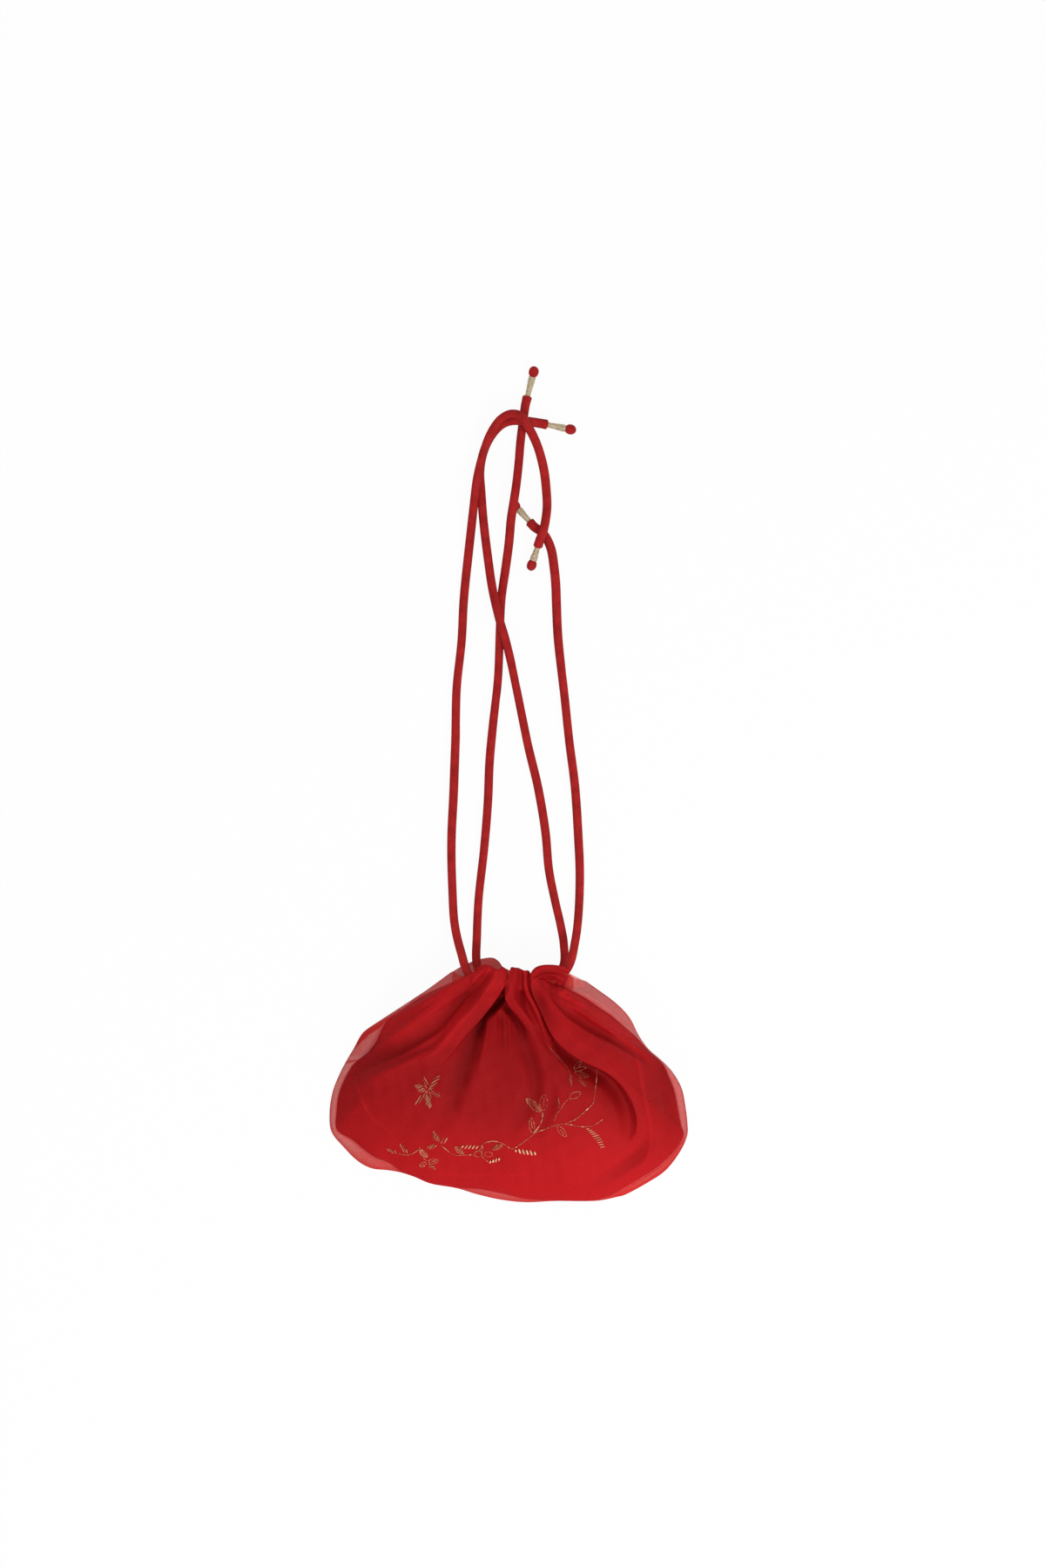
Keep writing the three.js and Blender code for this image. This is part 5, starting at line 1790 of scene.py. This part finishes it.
@dataclass
class Embroidery:
    """Coiled copper wire worked on the front: petals, leaves, ears, stems and the flower's eye."""

    cloth: bpy.types.Object
    ray_from: float = 200.0
    thread: float = 0.22
    sink: float = 0.08
    taper: tuple[float, ...] = (0.45, 0.9, 1, 1, 0.9, 0.45)
    coil_sides: int = 7
    ply_depth: float = 0.22
    ply_pace: float = 3.2
    line_step: float = 0.5
    line_sides: int = 8
    blade_span: Place = (0.02, 0.98)
    outline_points: int = 11
    least_coils: int = 4
    hatch_span: Place = (0.1, 0.9)
    hatch_lift: float = 0.2
    ragged: float = 0.36
    coil_spread: float = 0.16
    ear_taper: float = 0.55
    ear_fullest: float = 1.1
    ear_power: float = 2.2
    ear_uneven: float = 0.1
    ear_lift: float = 0.25
    ear_spread: float = 0.26
    vein_span: Place = (0.3, 0.78)
    vein_lift: float = 0.1
    stitch_step: float = 1.5
    stitch_gap: float = 0.08
    stem_step: float = 1.3
    stem_share: float = 1.15
    line_share: float = 0.6
    stem_painted_gleam: float = 0.0
    pale_bead: Place = (49.3, -16.4)
    pale_reach: float = 1.0
    pale_bead_painted_gleam: float = 1.2
    eye: Place = (-51.4, -5.7)
    eye_radius: float = 0.7
    eye_turn: float = 1.85
    eye_points: int = 16
    seed: int = 5

    def __post_init__(self) -> None:
        """Make the cloth ready for asking its height, and the draw for uneven stitches."""
        self.tree = BVHTree.FromObject(self.cloth, bpy.context.evaluated_depsgraph_get())
        self.draw = np.random.default_rng(self.seed)

    def _height(self, place: np.ndarray) -> float:
        """Top of the cloth at a place, in millimetres."""
        above = Vector((place[0] * MM, place[1] * MM, self.ray_from * MM))
        return self.tree.ray_cast(above, Vector((0, 0, -1)))[0].z / MM

    def _laid(self, plan: np.ndarray, radius: float) -> np.ndarray:
        """Centreline of a wire of that radius, laid on the cloth along a plan line."""
        heights = np.array([self._height(p) for p in plan]) + radius - self.sink
        return raised(plan, heights)

    def _stitch(self, start: np.ndarray, end: np.ndarray, radius: float, lift: float = 0.0) -> MeshPlan:
        """One short coil between two places.

        Args:
            start: Plan point.
            end: Plan point.
            radius: Radius of the coil.
            lift: Extra height in the middle.

        Returns:
            The plan of the coil.
        """
        share = np.linspace(0, 1, len(self.taper))[:, None]
        path = self._laid(between(start, end, share), radius)
        path[:, 2] += lift * np.sin(np.pi * share[:, 0])
        return tube(path, radius * np.array(self.taper), self.coil_sides)

    def _line(self, places: np.ndarray, radius: float) -> MeshPlan:
        """A long wire or twisted thread along a plan line.

        Args:
            places: Plan points.
            radius: Radius of the thread.

        Returns:
            The plan of the thread.
        """
        def ply(along: np.ndarray, turn: np.ndarray) -> np.ndarray:
            """Share of the radius of a two-ply twist."""
            return 1 + self.ply_depth * np.cos(2 * turn + along * self.ply_pace)

        path = self._laid(Route(places, 8).spaced(self.line_step), radius)
        return tube(path, np.full(len(path), radius), self.line_sides, ply)

    def _uneven(self, size: float) -> float:
        """A small share either way, for a stitch that is set by hand."""
        return float(self.draw.uniform(-size, size))

    def _hatched(self, motif: Motif) -> list[MeshPlan]:
        """Slanted coils right across a blade.

        Args:
            motif: The blade.

        Returns:
            The plan of each coil.
        """
        turn = math.radians(abs(motif.slant))
        side = math.copysign(1, motif.slant)
        count = max(int(motif.length * math.sin(turn) / motif.pitch), self.least_coils)
        coils = []
        for middle in np.linspace(*self.hatch_span, count):
            reach = motif.half(middle) / math.tan(turn) / motif.length
            ends = np.clip([middle - reach, middle + reach], *self.blade_span)
            start = motif.at(ends[0], -side * (1 + self._uneven(self.ragged)))
            end = motif.at(ends[1], side * (1 + self._uneven(self.ragged)))
            coils.append(self._stitch(start, end, motif.wire, self.hatch_lift))
        return coils

    def _ear(self, motif: Motif) -> list[MeshPlan]:
        """A row of slanted coils that stand apart.

        Args:
            motif: The ear.

        Returns:
            The plan of each coil.
        """
        turn = math.radians(motif.slant)
        forward = motif.axis / motif.length
        heading = forward * math.cos(turn) + np.array([-forward[1], forward[0]]) * math.sin(turn)
        count = max(int(motif.length / motif.pitch), self.least_coils)
        coils = []
        for along in (np.arange(count) + 0.5) / count:
            narrowed = self.ear_taper * abs(2 * along - self.ear_fullest) ** self.ear_power
            size = 1 - narrowed + self._uneven(self.ear_uneven)
            reach = heading * motif.width / 2 / abs(math.sin(turn)) * size
            middle = motif.at(along, 0.0)
            coils.append(self._stitch(middle - reach, middle + reach, motif.wire, self.ear_lift))
        return coils

    def _outlined(self, motif: Motif) -> list[MeshPlan]:
        """Short stitches along both sides of a blade.

        Args:
            motif: The blade.

        Returns:
            The plan of each stitch.
        """
        shares = np.linspace(*self.blade_span, self.outline_points)
        sides = [np.array([motif.at(s, side) for s in shares]) for side in (-1, 1)]
        return [part for line in sides for part in self._stitched(line, self.thread, self.stitch_step)]

    def motif(self, motif: Motif) -> MeshPlan:
        """Work one petal, leaf or ear.

        Args:
            motif: What to work.

        Returns:
            The plan of its stitches.
        """
        if motif.style is Style.HATCH:
            parts = self._hatched(motif)
        elif motif.style is Style.EAR:
            parts = self._ear(motif)
        else:
            parts = self._outlined(motif)
        if motif.style is Style.OUTLINE:
            start, end = (motif.at(share, 0.0) for share in self.vein_span)
            parts.append(self._stitch(start, end, motif.wire, self.vein_lift))
        if motif.style is Style.SATIN:
            parts += self._hatched(motif)
        spread = self.ear_spread if motif.style is Style.EAR else self.coil_spread
        return self._worked(parts, [motif.painted_gleam + self._uneven(spread) for _ in parts])

    @staticmethod
    def _worked(parts: list[MeshPlan], painted_gleams: list[float]) -> MeshPlan:
        """Stitches as one plan, each with its own painted gleam.

        Args:
            parts: The stitches.
            painted_gleams: Painted gleam of each.

        Returns:
            The plan.
        """
        plan = MeshPlan.joined(parts)
        plan.marks["painted_gleam"] = np.concatenate([np.full(len(p.points), g) for p, g in zip(parts, painted_gleams)])
        return plan

    def _stitched(self, places: np.ndarray, radius: float, step: float) -> list[MeshPlan]:
        """A line of short stitches, end to end.

        Args:
            places: Plan points that the line passes through.
            radius: Radius of the stitches.
            step: Length of a stitch with its gap.

        Returns:
            The plan of each stitch.
        """
        route = Route(places, 8)
        count = max(int(route.length / step), 2)
        gap = self.stitch_gap
        ends = [((i + gap) / count, (i + 1 - gap) / count) for i in range(count)]
        return [self._stitch(*route.at(np.array(pair)), radius) for pair in ends]

    def stem(self, stem: Stem) -> MeshPlan:
        """Work one stem: short stitches or a thin thread, with fatter coils on it.

        Args:
            stem: What to work.

        Returns:
            The plan of the stem.
        """
        places = np.array(stem.route)
        if stem.beaded:
            thin = [self._line(places, self.thread * self.line_share)]
        else:
            thin = self._stitched(places, self.thread * self.stem_share, self.stem_step)
        coils = [self._stitch(np.array(a), np.array(b), stem.fat) for a, b in stem.coils]
        away = [np.hypot(*((np.array(a) + np.array(b)) / 2 - self.pale_bead)) for a, b in stem.coils]
        # The coil at the pale bead gets a painted gleam strong enough to glint; the others take the stem's.
        painted_gleams = [self.pale_bead_painted_gleam if gap < self.pale_reach else stem.painted_gleam for gap in away]
        return self._worked(thin + coils, [min(self.stem_painted_gleam, stem.painted_gleam)] * len(thin) + painted_gleams)

    def flower_eye(self) -> MeshPlan:
        """Work the ring at the heart of the flower.

        Returns:
            The plan of the ring.
        """
        turn = np.linspace(0, self.eye_turn * np.pi, self.eye_points)
        ring = np.array(self.eye) + self.eye_radius * np.stack([np.cos(turn), np.sin(turn)], axis=1)
        return self._worked([self._line(ring, self.thread)], [self.stem_painted_gleam])

    def build(self, copper: bpy.types.Material) -> None:
        """Make every piece of the embroidery.

        Args:
            copper: Finish of the wire.
        """
        plans = {m.name: self.motif(m) for m in MOTIFS} | {s.name: self.stem(s) for s in STEMS}
        plans["flower_eye"] = self.flower_eye()
        for name, plan in plans.items():
            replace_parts(plan.piece(f"{name}_wire", Slot.COPPER, copper), name)


@dataclass(frozen=True)
class Lamp:
    """A square soft lamp: its power in watts, and its side, stand and target in metres."""

    name: str
    power: float
    size: float
    stand: Point
    target: Point

    def hang(self) -> None:
        """Hang the lamp so that it faces its target."""
        data = bpy.data.lights.new(self.name, "AREA")
        data.energy = self.power
        data.size = self.size
        made = placed(self.name, data)
        made.location = self.stand
        ray = Vector(self.target) - Vector(self.stand)
        made.rotation_euler = ray.to_track_quat("-Z", "Y").to_euler()


@dataclass
class Studio:
    """A white floor, soft lamps from the south-east and overhead, and the camera straight above."""

    frame_height: float = 0.990
    middle: Place = (0.0088, 0.187)
    camera_height: float = 3.2
    sensor: float = 36.0
    floor_size: float = 6.0
    floor_drop: float = 0.0004
    floor_colour: Colour = (0.86, 0.86, 0.86, 1.0)
    white: Colour = (1.0, 1.0, 1.0, 1.0)
    shadow_share: float = 0.06
    key: Lamp = Lamp("key", 19.0, 0.9, (0.9, -1.07, 1.5), (0.0, 0.05, 0.0))
    overhead: Lamp = Lamp("overhead", 30.0, 2.2, (0.0, 0.2, 3.6), (0.0, 0.2, 0.0))
    world_strength: float = 0.58

    def floor(self) -> None:
        """Lay the floor, white to the camera, with the bag's soft shadow."""
        half = self.floor_size / 2
        mesh = bpy.data.meshes.new("floor")
        corners = [(-half, -half, 0), (half, -half, 0), (half, half, 0), (-half, half, 0)]
        mesh.from_pydata(corners, [], [(0, 1, 2, 3)])
        board = Board("white_floor")
        seen = [board.node("ShaderNodeLightPath", {}, {}, name)
                for name in ("Is Camera Ray", "Is Glossy Ray", "Is Transmission Ray")]
        lit = board.node("ShaderNodeBsdfDiffuse", {}, {"Color": self.floor_colour})
        white = board.node("ShaderNodeEmission", {}, {"Color": self.white, "Strength": 1.0})
        share = (seen[0] + seen[1] + seen[2]).clamped() * (1 - self.shadow_share)
        board.close(board.node("ShaderNodeMixShader", {}, {0: share, 1: lit, 2: white}))
        mesh.materials.append(board.material)
        made = placed("floor", mesh)
        made.location.z = -self.floor_drop

    def light(self) -> None:
        """Hang the lamps and set the world's even light."""
        self.key.hang()
        self.overhead.hang()
        world = bpy.data.worlds.new("even_light")
        world.use_nodes = True
        background = world.node_tree.nodes["Background"]
        background.inputs["Color"].default_value = self.white
        background.inputs["Strength"].default_value = self.world_strength
        bpy.context.scene.world = world

    def camera(self) -> None:
        """Hang the camera so that its tall frame takes in the whole bag."""
        data = bpy.data.cameras.new("camera")
        data.sensor_width = self.sensor
        data.lens = self.sensor * self.camera_height / self.frame_height
        made = placed("camera", data)
        made.location = (*self.middle, self.camera_height)
        bpy.context.scene.camera = made
        bpy.context.scene.view_settings.view_transform = "Standard"


@dataclass(frozen=True)
class Cut:
    """A cut of cloth: the solid it stands for, its slot, and its flat sides and area in metres."""

    node: str
    slot: Slot
    flat: Place
    area: float


CUTS = (
    Cut("organza_front", Slot.ORGANZA, (0.24, 0.19), 0.039),
    Cut("lining_front", Slot.LINING, (0.22, 0.15), 0.031),
    Cut("organza_back", Slot.ORGANZA, (0.23, 0.175), 0.029),
    Cut("lining_back", Slot.LINING, (0.215, 0.135), 0.023),
)


def build_cloth(form: PouchForm) -> bpy.types.Object:
    """Args:
        form: Sizes of the pouch.

    Returns:
        The organza front, which carries the embroidery.
    """
    finishes = {Slot.ORGANZA: OrganzaFinish().material(), Slot.LINING: LiningFinish().material()}
    front, back = FrontPanels(form), BackPanels(form)
    plans = (front.organza(), front.lining(), back.organza(), back.lining())
    pieces = []
    for cut, plan in zip(CUTS, plans):
        piece = plan.piece(f"{cut.node}_cloth", cut.slot, finishes[cut.slot])
        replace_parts(piece, cut.node)
        pieces.append(piece)
    return pieces[0]


def main() -> None:
    """Build the bag and its studio, piece by piece."""
    logging.basicConfig(level=logging.INFO, format="%(message)s")
    form = PouchForm()
    studio = Studio()
    studio.camera()
    studio.floor()
    studio.light()
    cloth, gold = CordFinish().material(), GoldThreadFinish().material()
    Drawstring("front_drawstring", FRONT_LEFT, FRONT_RIGHT, form.front_channel_z, form).build(cloth, gold)
    Drawstring("back_drawstring", BACK_LEFT, BACK_RIGHT, form.back_channel_z, form).build(cloth, gold)
    veil = build_cloth(form)
    Embroidery(veil).build(CopperFinish().material())


if __name__ == "__main__":
    main()
